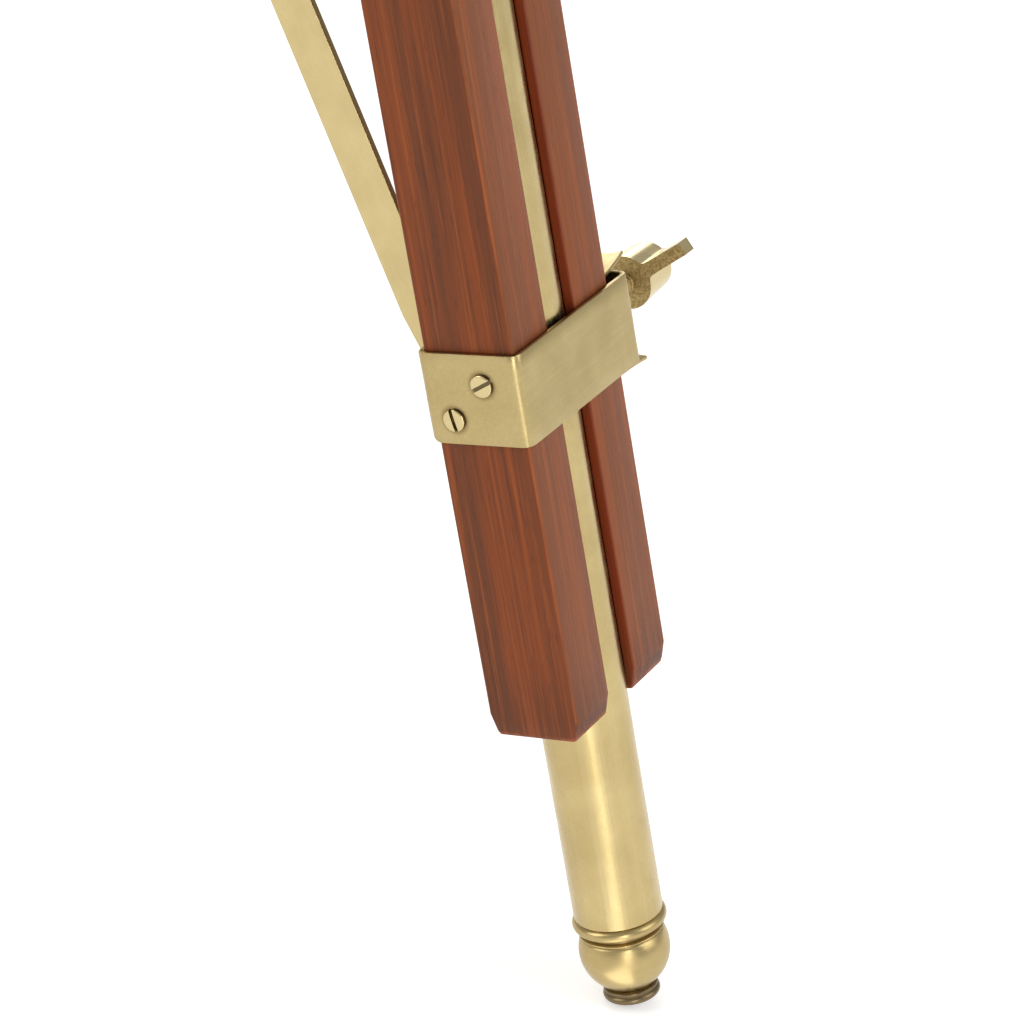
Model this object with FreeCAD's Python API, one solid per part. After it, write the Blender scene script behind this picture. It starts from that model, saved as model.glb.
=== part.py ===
"""Wooden field tripod with brass fittings.

Three legs hang from a turned head. Each leg is two hardwood rails with a brass tube
sliding between them, a clamp band with a wing screw, and a turned brass foot. A flat
brass strut joins each clamp band to a hub that slides on a central column.

Frame: millimetres, +Z up, origin at the camera seat on top of the head, on the column's
axis. Leg 1 points along +X, legs 2 and 3 follow at 120 degree steps.
Leg frame, before a leg is spread: origin on the hinge axis, x outward from the column,
y from rail 1 to rail 2 along the hinge axis, z up the leg.
"""
import FreeCAD, Part
import math
import os

V = FreeCAD.Vector
X, Y, Z = V(1, 0, 0), V(0, 1, 0), V(0, 0, 1)

# --- driving dimensions -----------------------------------------------------------
LEGS = 3
SPLAY = 14.0              # angle of a leg from vertical, fully open
STRUT_LEAN = 14.85        # angle between a strut and its leg, fully open

RAIL_LENGTH = 950.0       # hinge axis to the rail's lower end
RAIL_WIDTH = 27.4         # in and out
RAIL_THICK = 18.4         # along the hinge axis
RAIL_GAP = 14.6           # between the two rails
EDGE_EASE = 0.9           # worn round of the rails' long edges
END_CHAMFER = 3.0         # at the rails' lower ends

TUBE_R = 12.7             # one inch tube
TUBE_WALL = 1.5
TUBE_SHOWN = 67.4         # tube below the rails, down to the foot
TUBE_INSIDE = 550.0       # tube above the rails' lower ends
TUBE_CLEAR = 0.3
TUBE_IN = 60.0            # how far the tube still goes in
FOOT_HEIGHT = 26.8

BAND_LOW = 86.9           # lower edge of the clamp band above the rails' ends
BAND_HEIGHT = 25.6
BAND_SHEET = 1.5
BAND_PLAY = 0.2           # between band and wood
BAND_REACH = 9.3          # band beyond rail 2
PIVOT_OUT = 12.1          # strut pivot, inward of the rails' inner faces

HINGE_R = 60.0            # hinge axes from the column's axis
HINGE_DOWN = 42.0         # hinge axes below the camera seat
BOLT_R = 4.0
COLUMN_R = 8.0
RUNNING = 0.05            # radial clearance of a running fit
SIDE_PLAY = 0.3           # between faces of pieces that move on each other

STRUT_WIDTH = 12.3
STRUT_THICK = 3.0
RIVET_R = 2.2

BOARD_R = 70.0
BOARD_THICK = 18.0
PAD_THICK = 2.0
STUD_R = 4.76             # 3/8 inch camera screw
STUD_OUT = 11.0
STUD_BODY_R = 5.5         # below the seat, held in the board and the casting

# --- worked out from them ---------------------------------------------------------
HALF_W = RAIL_WIDTH / 2
HALF_GAP = RAIL_GAP / 2
LEG_SIDE = HALF_GAP + RAIL_THICK
RAIL_END = -RAIL_LENGTH
BAND_IN = HALF_W + BAND_PLAY
BAND_OUT = BAND_IN + BAND_SHEET
BAND_END = LEG_SIDE + BAND_REACH
BAND_Z = RAIL_END + BAND_LOW
BAND_MID = BAND_Z + BAND_HEIGHT / 2
PIVOT_X = -(HALF_W + PIVOT_OUT)
HUB_PIN_R = HINGE_R + PIVOT_X
GROOVE_TOP = RAIL_END + TUBE_INSIDE + TUBE_IN + 20.0

splay = math.radians(SPLAY)
lean = math.radians(SPLAY + STRUT_LEAN)
pivot_reach = HINGE_R - BAND_MID * math.sin(splay) + PIVOT_X * math.cos(splay)
pivot_drop = BAND_MID * math.cos(splay) + PIVOT_X * math.sin(splay)
STRUT_LENGTH = (pivot_reach - HUB_PIN_R) / math.sin(lean)
HUB_Z = -HINGE_DOWN + pivot_drop + STRUT_LENGTH * math.cos(lean)
HUB_Z_FOLDED = -HINGE_DOWN + BAND_MID + STRUT_LENGTH


def box(x0, x1, y0, y1, z0, z1):
    return Part.makeBox(x1 - x0, y1 - y0, z1 - z0, V(x0, y0, z0))


def rod(r, start, end):
    """Solid cylinder between two points."""
    return Part.makeCylinder(r, (end - start).Length, start, end - start)


def prism(points, direction):
    """Closed outline pushed along a direction."""
    wire = Part.makePolygon(points + [points[0]])
    return Part.Face(wire).extrude(direction)


def turned(profile):
    """Revolve an outline of (radius, height) points about the Z axis."""
    points = [V(r, 0, z) for r, z in profile]
    return Part.Face(Part.makePolygon(points + [points[0]])).revolve(V(), Z, 360)


def upright_edges(shape):
    return [e for e in shape.Edges
            if isinstance(e.Curve, Part.Line) and abs(e.Curve.Direction.z) > 0.999]


def rounded_box(x0, x1, y0, y1, z0, z1, r):
    """Box with its four upright edges rounded."""
    block = box(x0, x1, y0, y1, z0, z1)
    return block.makeFillet(r, upright_edges(block))


def joined(*solids):
    return solids[0].fuse(list(solids[1:])).removeSplitter()


def spread(shape, leg, angle=SPLAY):
    """Put a piece from the leg frame in its place on leg 1, 2 or 3."""
    placed = shape.copy()
    placed.rotate(V(), Y, -angle)
    placed.translate(V(HINGE_R, 0, -HINGE_DOWN))
    placed.rotate(V(), Z, 360.0 / LEGS * (leg - 1))
    return placed


def around(shape):
    """One copy of a piece for each leg, about the column's axis."""
    copies = []
    for leg in range(LEGS):
        copy = shape.copy()
        copy.rotate(V(), Z, 360.0 / LEGS * leg)
        copies.append(copy)
    return copies


# --- leg: wood ----------------------------------------------------------------------
SPACER_LOW = -220.0
SPACER_HIGH = -150.0
CLAMP_SCREWS = [(3.7, BAND_MID + 4.3), (-6.5, BAND_MID - 5.8)]   # x, z on rail 1's side
CLAMP_SCREW_R = 1.75
CLAMP_SCREW_LENGTH = 12.0


def end_wedge(face, inward, across, start, end):
    """Wedge that takes the corner off a rail's lower end, along one of its faces."""
    outline = [(face - inward, RAIL_END - 1), (face + inward * (END_CHAMFER + 1), RAIL_END - 1),
               (face - inward, RAIL_END + END_CHAMFER + 1)]
    if across == X:
        return prism([V(x, start, z) for x, z in outline], V(0, end - start, 0))
    return prism([V(start, y, z) for y, z in outline], V(end - start, 0, 0))


def rail(side):
    """One hardwood rail. side is -1 for rail 1 and +1 for rail 2."""
    y0, y1 = sorted((side * HALF_GAP, side * LEG_SIDE))
    body = rounded_box(-HALF_W, HALF_W, y0, y1, RAIL_END, 0, EDGE_EASE)
    for edge in (-1, 1):
        body = body.cut(end_wedge(edge * HALF_W, -edge, X, y0 - 1, y1 + 1))
    body = body.cut(end_wedge(side * LEG_SIDE, -side, Y, -HALF_W - 1, HALF_W + 1))
    head = rod(HALF_W, V(0, y0, 0), V(0, y1, 0))
    body = joined(body, head)
    groove = rod(TUBE_R + TUBE_CLEAR, V(0, 0, RAIL_END - 1), V(0, 0, GROOVE_TOP))
    bolt_hole = rod(BOLT_R + RUNNING, V(0, y0 - 1, 0), V(0, y1 + 1, 0))
    body = body.cut([groove, bolt_hole])
    if side < 0:
        for x, z in CLAMP_SCREWS:
            tip = V(x, -LEG_SIDE + CLAMP_SCREW_LENGTH + 0.5, z)
            body = body.cut(rod(CLAMP_SCREW_R + RUNNING, V(x, -LEG_SIDE - 1, z), tip))
    return body


def spacer():
    """Block glued between the rails below the head, which keeps them apart."""
    return box(-HALF_W + 1, HALF_W - 1, -HALF_GAP, HALF_GAP, SPACER_LOW, SPACER_HIGH)


def top_band():
    """Closed sheet band round both rails at the spacer."""
    low, high = SPACER_LOW + 22.0, SPACER_HIGH - 22.0
    side = LEG_SIDE + BAND_PLAY
    outer = rounded_box(-BAND_OUT, BAND_OUT, -side - BAND_SHEET, side + BAND_SHEET, low, high, 2.2)
    inner = box(-BAND_IN, BAND_IN, -side, side, low - 1, high + 1)
    return outer.cut(inner)


# --- leg: sliding tube and foot -----------------------------------------------------
TUBE_LOW = RAIL_END - TUBE_SHOWN
TUBE_HIGH = RAIL_END + TUBE_INSIDE
BORE_R = TUBE_R - TUBE_WALL


def tube():
    outer = rod(TUBE_R, V(0, 0, TUBE_LOW), V(0, 0, TUBE_HIGH))
    return outer.cut(rod(BORE_R, V(0, 0, TUBE_LOW - 1), V(0, 0, TUBE_HIGH + 1)))


def tube_plug():
    """Turned plug in the tube's upper end."""
    stem = rod(BORE_R, V(0, 0, TUBE_HIGH - 20), V(0, 0, TUBE_HIGH))
    return joined(stem, rod(TUBE_R, V(0, 0, TUBE_HIGH), V(0, 0, TUBE_HIGH + 3)))


def foot():
    """Turned foot: bead ring, groove, shoulder, ball, neck and rounded base."""
    top = TUBE_LOW
    ring_r, ring_h = 13.5, 3.9
    ball_r, ball_mid = 13.0, -11.6
    neck_r, base_r = 6.6, 8.2
    ball_cut = math.sqrt(ball_r ** 2 - 7.4 ** 2)
    neck_cut = math.sqrt(ball_r ** 2 - neck_r ** 2)
    base_top, base_end = -FOOT_HEIGHT + 3.4, -FOOT_HEIGHT
    edge = 1.3

    def p(r, z):
        return V(r, 0, top + z)

    lines = [
        Part.LineSegment(p(0, 18), p(BORE_R, 18)),
        Part.LineSegment(p(BORE_R, 18), p(BORE_R, 0)),
        Part.LineSegment(p(BORE_R, 0), p(ring_r - 1.2, 0)),
        Part.Arc(p(ring_r - 1.2, 0), p(ring_r, -ring_h / 2), p(ring_r - 1.2, -ring_h)),
        Part.LineSegment(p(ring_r - 1.2, -ring_h), p(ball_cut, -ring_h - 0.3)),
        Part.Arc(p(ball_cut, -ring_h - 0.3), p(ball_r, ball_mid), p(neck_r, ball_mid - neck_cut)),
        Part.LineSegment(p(neck_r, ball_mid - neck_cut), p(neck_r, base_top)),
        Part.LineSegment(p(neck_r, base_top), p(base_r - edge, base_top)),
        Part.Arc(p(base_r - edge, base_top), p(base_r, (base_top + base_end) / 2),
                 p(base_r - edge, base_end)),
        Part.LineSegment(p(base_r - edge, base_end), p(0, base_end)),
        Part.LineSegment(p(0, base_end), p(0, 18)),
    ]
    wire = Part.Wire([line.toShape() for line in lines])
    return Part.Face(wire).revolve(V(), Z, 360)


# --- leg: clamp -----------------------------------------------------------------------
WING_SCREW_R = 3.0
SHOE_SHEET = 1.5
SHOE_HALF = 13.6
SHOE_TOP = (0.4, 0.165)   # upper flange: root above the band's edge, slope
SHOE_LOW = (1.3, 0.037)   # lower flange: root below the band's edge, slope
SHOE_END = LEG_SIDE + 14.6
WING_OUT = 22.6           # how far the wing screw stands out of the band
WING_TURN = 28.5          # how far its arms are turned up from the outward direction
WING_BOSS_R = 7.8
WING_BOSS_END_R = 7.0
WING_BOSS_LENGTH = 14.6
WING_ARM = 22.0           # arm's tip from the screw's axis
WING_ARM_THICK = 3.8
WING_TIP_DEPTH = 5.0
NUT_THICK = 4.0


def strap():
    """Sheet band round the rails, closed across the end that holds the wing screw."""
    low, high = BAND_Z, BAND_Z + BAND_HEIGHT
    left = -LEG_SIDE - BAND_PLAY - BAND_SHEET
    outer = rounded_box(-BAND_OUT, BAND_OUT, left, BAND_END, low, high, 2.0)
    inner = box(-BAND_IN, BAND_IN, left + BAND_SHEET, BAND_END - BAND_SHEET, low - 1, high + 1)
    inner = inner.makeFillet(0.5, upright_edges(inner))
    band = outer.cut(inner)
    for x, z in CLAMP_SCREWS:
        band = band.cut(rod(CLAMP_SCREW_R + RUNNING, V(x, left - 1, z), V(x, -LEG_SIDE + 1, z)))
    hole = rod(WING_SCREW_R + 0.2, V(0, BAND_END - 3, BAND_MID), V(0, BAND_END + 1, BAND_MID))
    return band.cut(hole)


def strap_screws():
    """Two slotted round head screws that hold the band to rail 1."""
    seat = -LEG_SIDE - BAND_PLAY - BAND_SHEET
    screws = []
    for (x, z), turn in zip(CLAMP_SCREWS, (-22.0, 80.0)):
        shank = rod(CLAMP_SCREW_R, V(0, 0, 0), V(0, CLAMP_SCREW_LENGTH, 0))
        dome = Part.makeSphere(5.2, V(0, 4.15, 0)).common(box(-6, 6, -2, 0, -6, 6))
        screw = joined(shank, dome)
        slot = box(-6, 6, -2, -0.35, -0.4, 0.4)
        slot.rotate(V(), Y, turn)
        screw = screw.cut(slot)
        screw.translate(V(x, seat, z))
        screws.append(screw)
    return Part.makeCompound(screws)


def shoe():
    """Pressed channel between the wing screw and rail 2, with flared flanges."""
    y0, y1, y2 = LEG_SIDE + 0.05, LEG_SIDE + 0.05 + SHOE_SHEET, SHOE_END

    def flange(proud, slope, up):
        half = BAND_HEIGHT / 2 + proud
        end = half + slope * (y2 - y0)
        root = half - SHOE_SHEET + slope * (y1 - y0)
        return [(y0, up * half), (y2, up * end), (y2, up * (end - SHOE_SHEET)), (y1, up * root)]

    outline = flange(*SHOE_TOP, 1) + flange(*SHOE_LOW, -1)[::-1]
    points = [V(-SHOE_HALF, y, BAND_MID + z) for y, z in outline]
    return prism(points, V(2 * SHOE_HALF, 0, 0))


def clamp_nut():
    """Square brass nut brazed inside the band's end."""
    y1 = BAND_END - BAND_SHEET
    nut = box(-7, 7, y1 - NUT_THICK, y1, BAND_MID - 7, BAND_MID + 7)
    hole = rod(WING_SCREW_R + RUNNING, V(0, y1 - NUT_THICK - 1, BAND_MID), V(0, y1 + 1, BAND_MID))
    return nut.cut(hole)


def wing_screw():
    """Cast wing screw, half unscrewed: long shank, round boss and two tapered arms."""
    tip = LEG_SIDE + 0.05 + SHOE_SHEET + SIDE_PLAY
    near, far = BAND_END + WING_OUT, BAND_END + WING_OUT + WING_BOSS_LENGTH
    shank = rod(WING_SCREW_R, V(0, tip, 0), V(0, near + 1, 0))
    boss = Part.makeCone(WING_BOSS_R, WING_BOSS_END_R, far - near, V(0, near, 0), Y)
    boss = boss.makeFillet(1.6, [e for e in boss.Edges if e.BoundBox.YMin > far - 0.01])
    half = WING_ARM_THICK / 2
    outline = [V(-WING_ARM, near, -half), V(WING_ARM, near, -half),
               V(WING_ARM, near + WING_TIP_DEPTH, -half), V(WING_BOSS_END_R - 1, far - 1.5, -half),
               V(1 - WING_BOSS_END_R, far - 1.5, -half), V(-WING_ARM, near + WING_TIP_DEPTH, -half)]
    arms = prism(outline, V(0, 0, WING_ARM_THICK))
    screw = joined(shank, boss, arms)
    screw.rotate(V(), Y, -WING_TURN)
    screw.translate(V(0, 0, BAND_MID))
    return screw


# --- leg: strut -----------------------------------------------------------------------
CHEEK = 2.0
CHEEK_R = 6.0
RIVET_HALF = STRUT_THICK / 2 + SIDE_PLAY + 3.0


def strut_lug():
    """Forked bracket brazed on the band's inner face, which carries the strut."""
    base = box(-BAND_OUT - 2.0, -BAND_OUT, -8, 8, BAND_MID - 10, BAND_MID + 10)
    inner = STRUT_THICK / 2 + SIDE_PLAY
    cheeks = []
    for side in (-1, 1):
        y0, y1 = sorted((side * inner, side * (inner + CHEEK)))
        arm = box(PIVOT_X, -BAND_OUT - 1, y0, y1, BAND_MID - CHEEK_R, BAND_MID + CHEEK_R)
        eye = rod(CHEEK_R, V(PIVOT_X, y0, BAND_MID), V(PIVOT_X, y1, BAND_MID))
        cheeks.append(arm.fuse(eye))
    hole = rod(RIVET_R + RUNNING, V(PIVOT_X, -9, BAND_MID), V(PIVOT_X, 9, BAND_MID))
    return joined(base, *cheeks).cut(hole)


def strut_blank(half_thick):
    """Flat strip with rounded ends, from the lower pivot at the origin upwards."""
    r = STRUT_WIDTH / 2
    low, high = V(0, -half_thick, 0), V(0, -half_thick, STRUT_LENGTH)
    strip = box(-r, r, -half_thick, half_thick, 0, STRUT_LENGTH)
    ends = [Part.makeCylinder(r, 2 * half_thick, end, Y) for end in (low, high)]
    return joined(strip, *ends)


def place_strut(shape):
    """Swing a strut out from the leg and put its lower end on the pivot."""
    placed = shape.copy()
    placed.rotate(V(), Y, -STRUT_LEAN)
    placed.translate(V(PIVOT_X, 0, BAND_MID))
    return placed


def strut():
    strip = strut_blank(STRUT_THICK / 2)
    for z in (0, STRUT_LENGTH):
        strip = strip.cut(rod(RIVET_R, V(0, -5, z), V(0, 5, z)))
    return place_strut(strip)


def strut_rivets():
    """Two rivets fixed in the strut's ends, with low round heads."""
    rivets = []
    for z, half in ((0, RIVET_HALF), (STRUT_LENGTH, RIVET_HALF + 1.0)):
        pin = rod(RIVET_R, V(0, -half, z), V(0, half, z))
        heads = [rod(4.2, V(0, side * half, z), V(0, side * (half + 1.4), z)) for side in (-1, 1)]
        rivets.append(joined(pin, *heads))
    return place_strut(Part.makeCompound(rivets))


# --- leg: hinge -----------------------------------------------------------------------
def hinge_bolt():
    shank = rod(BOLT_R, V(0, -LEG_SIDE, 0), V(0, LEG_SIDE + 9, 0))
    washer = rod(9.0, V(0, -LEG_SIDE - 1.5, 0), V(0, -LEG_SIDE, 0))
    dome = Part.makeSphere(9.0, V(0, -LEG_SIDE + 2.5, 0))
    dome = dome.common(box(-10, 10, -LEG_SIDE - 7, -LEG_SIDE - 1.5, -10, 10))
    return joined(shank, washer, dome)


def hinge_nut():
    """Round cap nut over a washer, on the bolt's free end."""
    y0 = LEG_SIDE
    washer = rod(9.0, V(0, y0, 0), V(0, y0 + 1.5, 0))
    collar = rod(7.0, V(0, y0 + 1.5, 0), V(0, y0 + 7.5, 0))
    dome = Part.makeSphere(7.0, V(0, y0 + 7.5, 0))
    bore = rod(BOLT_R + RUNNING, V(0, y0 - 1, 0), V(0, y0 + 9.2, 0))
    return joined(washer, collar, dome).cut(bore)


# --- head -------------------------------------------------------------------------------
BOARD_TOP = -PAD_THICK
BOARD_LOW = BOARD_TOP - BOARD_THICK
SPIDER_R = 42.0
SPIDER_PLATE = 6.0
SPIDER_LOW = BOARD_LOW - SPIDER_PLATE
HEAD_BOLT_R = 2.5
HEAD_BOLT_RING = 33.0


def head_board():
    """Turned hardwood disc with a rounded rim."""
    disc = rod(BOARD_R, V(0, 0, BOARD_LOW), V(0, 0, BOARD_TOP))
    disc = disc.makeFillet(5.0, [e for e in disc.Edges if e.Length > 6 * BOARD_R])
    stud_hole = rod(STUD_BODY_R + RUNNING, V(0, 0, BOARD_LOW - 1), V(0, 0, BOARD_TOP + 1))
    holes = [h for h in head_bolt_shanks(HEAD_BOLT_R + RUNNING, 1.0)]
    return disc.cut([stud_hole] + holes)


def head_bolt_shanks(r, extra):
    angle = math.radians(180.0 / LEGS)
    x, y = HEAD_BOLT_RING * math.cos(angle), HEAD_BOLT_RING * math.sin(angle)
    shank = rod(r, V(x, y, SPIDER_LOW - extra), V(x, y, BOARD_TOP - 5 + extra))
    return around(shank)


def head_bolts():
    """Three cheese head bolts from below, through the spider into the board."""
    bolts = []
    angle = math.radians(180.0 / LEGS)
    x, y = HEAD_BOLT_RING * math.cos(angle), HEAD_BOLT_RING * math.sin(angle)
    shank = head_bolt_shanks(HEAD_BOLT_R, 0)[0]
    head = rod(4.5, V(x, y, SPIDER_LOW - 3.0), V(x, y, SPIDER_LOW))
    slot = box(x - 6, x + 6, y - 0.5, y + 0.5, SPIDER_LOW - 4, SPIDER_LOW - 1.8)
    return Part.makeCompound(around(joined(shank, head).cut(slot)))


def head_spider():
    """Brass casting under the board: plate, centre boss and three hinge lugs."""
    plate = rod(SPIDER_R, V(0, 0, SPIDER_LOW), V(0, 0, BOARD_LOW))
    boss = rod(15.0, V(0, 0, -HINGE_DOWN - 6), V(0, 0, SPIDER_LOW))
    half = HALF_GAP - SIDE_PLAY
    ear = rod(11.0, V(HINGE_R, -half, -HINGE_DOWN), V(HINGE_R, half, -HINGE_DOWN))
    web = prism([V(8, -half, SPIDER_LOW), V(8, -half, -HINGE_DOWN - 6),
                 V(30, -half, -HINGE_DOWN - 6), V(HINGE_R, -half, -HINGE_DOWN - 11),
                 V(HINGE_R + 11, -half, -HINGE_DOWN), V(HINGE_R + 8, -half, BOARD_LOW),
                 V(30, -half, BOARD_LOW)], V(0, 2 * half, 0))
    hole = rod(BOLT_R + RUNNING, V(HINGE_R, -9, -HINGE_DOWN), V(HINGE_R, 9, -HINGE_DOWN))
    lug = ear.fuse(web).cut(hole)
    casting = joined(plate, boss, *around(lug))
    column_hole = rod(COLUMN_R, V(0, 0, -HINGE_DOWN - 7), V(0, 0, SPIDER_LOW))
    stud_hole = rod(STUD_BODY_R, V(0, 0, SPIDER_LOW - 1), V(0, 0, BOARD_LOW + 1))
    return casting.cut([column_hole, stud_hole] + head_bolt_shanks(HEAD_BOLT_R + RUNNING, 1.0))


def seat_pad():
    """Leather ring that the camera sits on."""
    ring = rod(48.0, V(0, 0, BOARD_TOP), V(0, 0, 0))
    return ring.cut(rod(STUD_R + 1.2, V(0, 0, BOARD_TOP - 1), V(0, 0, 1)))


def camera_stud():
    """Screw for the camera, with a thicker plain body that ends level with the seat."""
    screw = rod(STUD_R, V(0, 0, -1), V(0, 0, STUD_OUT))
    screw = screw.makeChamfer(0.8, [e for e in screw.Edges if e.BoundBox.ZMin > STUD_OUT - 0.01])
    return joined(screw, rod(STUD_BODY_R, V(0, 0, SPIDER_LOW), V(0, 0, 0)))


# --- column and hub -----------------------------------------------------------------------
HUB_HALF = 13.0
HUB_R = 13.0
HUB_CHEEK = 3.0
SLOT_CLEAR = 0.85
FINIAL_TOP = HUB_Z - HUB_HALF - SIDE_PLAY
COLUMN_LOW = FINIAL_TOP - 14.0
THUMB_R = 3.0


def column():
    return rod(COLUMN_R, V(0, 0, COLUMN_LOW), V(0, 0, SPIDER_LOW))


def column_finial():
    """Turned knob on the column's lower end; its collar stops the hub."""
    top, stem = FINIAL_TOP, COLUMN_LOW
    profile = [(0, stem), (COLUMN_R + RUNNING, stem), (COLUMN_R + RUNNING, top), (13.5, top),
               (13.5, top - 4), (11.0, top - 6), (11.0, top - 12), (14.5, top - 15),
               (16.0, top - 21), (14.5, top - 27), (9.0, top - 32), (5.0, top - 34),
               (5.0, top - 37), (0, top - 40)]
    return turned(profile)


def rivet_path(steps=24):
    """Where a strut's upper rivet runs in its hub cheek as the legs fold.

    A leg's fold turns the strut and lifts the hub at constant ratios, so the rivet
    leaves its place by a few millimetres half way. The slot in the cheek holds it.
    """
    path = []
    for i in range(steps + 1):
        fold = splay * i / steps
        strut_turn = lean * i / steps
        leg = splay - fold
        px = HINGE_R - BAND_MID * math.sin(leg) + PIVOT_X * math.cos(leg)
        pz = -HINGE_DOWN + BAND_MID * math.cos(leg) + PIVOT_X * math.sin(leg)
        tx = px - STRUT_LENGTH * math.sin(lean - strut_turn)
        tz = pz + STRUT_LENGTH * math.cos(lean - strut_turn)
        hub = HUB_Z + (HUB_Z_FOLDED - HUB_Z) * i / steps
        path.append(V(tx - HUB_PIN_R, 0, tz - hub))
    return path


def rivet_slot():
    """Straight slanted slot that the rivet's path fits in, at the hub's own origin."""
    far = max(rivet_path(), key=lambda p: p.Length)
    along = V(far).normalize()
    across = max(abs(p.dot(V(along.z, 0, -along.x))) for p in rivet_path())
    r = RIVET_R + across + SLOT_CLEAR
    ends = [Part.makeCylinder(r, 60, end + V(0, -30, 0), Y) for end in (V(), far)]
    side = V(along.z, 0, -along.x) * r
    strip = prism([p + V(0, -30, 0) for p in (side, far + side, far - side, -side)], V(0, 60, 0))
    return ends[0].fuse([ends[1], strip]), far, r


def hub():
    """Sliding hub: sleeve, rim and three forked lugs with slanted slots."""
    sleeve = rod(HUB_R, V(0, 0, HUB_Z - HUB_HALF), V(0, 0, HUB_Z + HUB_HALF))
    slot, far, r = rivet_slot()
    inner = STRUT_THICK / 2 + SIDE_PLAY
    wall = 3.2
    cheeks = []
    for side in (-1, 1):
        y0, y1 = sorted((side * inner, side * (inner + HUB_CHEEK)))
        width = V(0, y1 - y0, 0)
        low, high = V(HUB_PIN_R, y0, HUB_Z), V(HUB_PIN_R + far.x, y0, HUB_Z + far.z)
        rounds = [Part.makeCylinder(r + wall, y1 - y0, end, Y) for end in (low, high)]
        web = prism([V(9, y0, HUB_Z - 10), V(HUB_PIN_R, y0, HUB_Z - r - wall),
                     V(HUB_PIN_R + r + wall - 0.4, y0, HUB_Z + 2), V(high.x + r + wall - 0.8, y0, high.z),
                     V(high.x, y0, high.z + r + wall), V(9, y0, HUB_Z + 12)], width)
        cheeks.append(web.fuse(rounds))
    slot.translate(V(HUB_PIN_R, 0, HUB_Z))
    lug = cheeks[0].fuse(cheeks[1]).cut(slot)
    body = joined(sleeve, *around(lug))
    bore = rod(COLUMN_R + RUNNING, V(0, 0, HUB_Z - 40), V(0, 0, HUB_Z + 40))
    thumb = rod(THUMB_R + RUNNING, V(0, 0, HUB_Z), V(-20, 0, HUB_Z))
    return body.cut([bore, thumb])


def hub_thumb_screw():
    """Knurled screw that locks the hub on the column, opposite leg 1."""
    tip = -COLUMN_R - SIDE_PLAY
    shank = rod(THUMB_R, V(tip, 0, HUB_Z), V(-19, 0, HUB_Z))
    neck = rod(4.5, V(-13.4, 0, HUB_Z), V(-18, 0, HUB_Z))
    knob = rod(8.0, V(-18, 0, HUB_Z), V(-25, 0, HUB_Z))
    knob = knob.makeChamfer(0.8, [e for e in knob.Edges if e.Length > 45])
    return joined(shank, neck, knob)


# --- write the pieces -----------------------------------------------------------------------
LEG_PIECES = {
    "rail_1": rail(-1),
    "rail_2": rail(1),
    "spacer": spacer(),
    "top_band": top_band(),
    "tube": tube(),
    "tube_plug": tube_plug(),
    "foot": foot(),
    "strap": strap(),
    "strap_screws": strap_screws(),
    "shoe": shoe(),
    "clamp_nut": clamp_nut(),
    "wing_screw": wing_screw(),
    "strut_lug": strut_lug(),
    "strut": strut(),
    "strut_rivets": strut_rivets(),
    "hinge_bolt": hinge_bolt(),
    "hinge_nut": hinge_nut(),
}
HEAD_PIECES = {
    "head_board": head_board(),
    "head_spider": head_spider(),
    "head_bolts": head_bolts(),
    "seat_pad": seat_pad(),
    "camera_stud": camera_stud(),
    "column": column(),
    "column_finial": column_finial(),
    "hub": hub(),
    "hub_thumb_screw": hub_thumb_screw(),
}

os.makedirs("parts", exist_ok=True)
for leg in range(1, LEGS + 1):
    for name, shape in LEG_PIECES.items():
        spread(shape, leg).exportStep(f"parts/leg_{leg}_{name}.step")
for name, shape in HEAD_PIECES.items():
    shape.exportStep(f"parts/{name}.step")

for name, shape in {**LEG_PIECES, **HEAD_PIECES}.items():
    print(name, "solids", len(shape.Solids), "valid", shape.isValid(), "volume", round(shape.Volume))
print("strut length", round(STRUT_LENGTH, 2), "hub z", round(HUB_Z, 2))
print("hub travel", round(HUB_Z_FOLDED - HUB_Z, 3), "tube end", round(TUBE_LOW, 2))
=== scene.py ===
"""Wooden field tripod with brass fittings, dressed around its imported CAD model."""
import bmesh
import bpy
import math
from mathutils import Matrix, Vector


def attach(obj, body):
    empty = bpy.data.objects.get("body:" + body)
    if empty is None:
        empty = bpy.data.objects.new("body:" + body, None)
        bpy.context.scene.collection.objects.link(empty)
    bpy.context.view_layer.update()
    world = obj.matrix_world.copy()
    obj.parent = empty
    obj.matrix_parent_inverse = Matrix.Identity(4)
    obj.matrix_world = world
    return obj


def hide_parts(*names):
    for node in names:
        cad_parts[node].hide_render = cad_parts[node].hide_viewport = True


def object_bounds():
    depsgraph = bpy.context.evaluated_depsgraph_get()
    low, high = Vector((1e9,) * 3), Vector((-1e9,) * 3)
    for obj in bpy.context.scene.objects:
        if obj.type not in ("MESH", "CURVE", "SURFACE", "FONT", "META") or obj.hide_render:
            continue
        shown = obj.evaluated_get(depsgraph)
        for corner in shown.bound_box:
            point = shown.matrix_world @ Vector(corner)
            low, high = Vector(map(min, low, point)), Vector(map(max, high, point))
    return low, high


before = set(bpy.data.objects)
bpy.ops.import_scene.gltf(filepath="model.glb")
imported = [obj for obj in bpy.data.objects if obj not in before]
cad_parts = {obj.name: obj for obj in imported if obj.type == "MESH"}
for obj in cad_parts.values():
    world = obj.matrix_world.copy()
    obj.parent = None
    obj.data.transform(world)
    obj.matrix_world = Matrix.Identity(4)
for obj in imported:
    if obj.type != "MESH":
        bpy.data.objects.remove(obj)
cad_low, cad_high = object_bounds()

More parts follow.
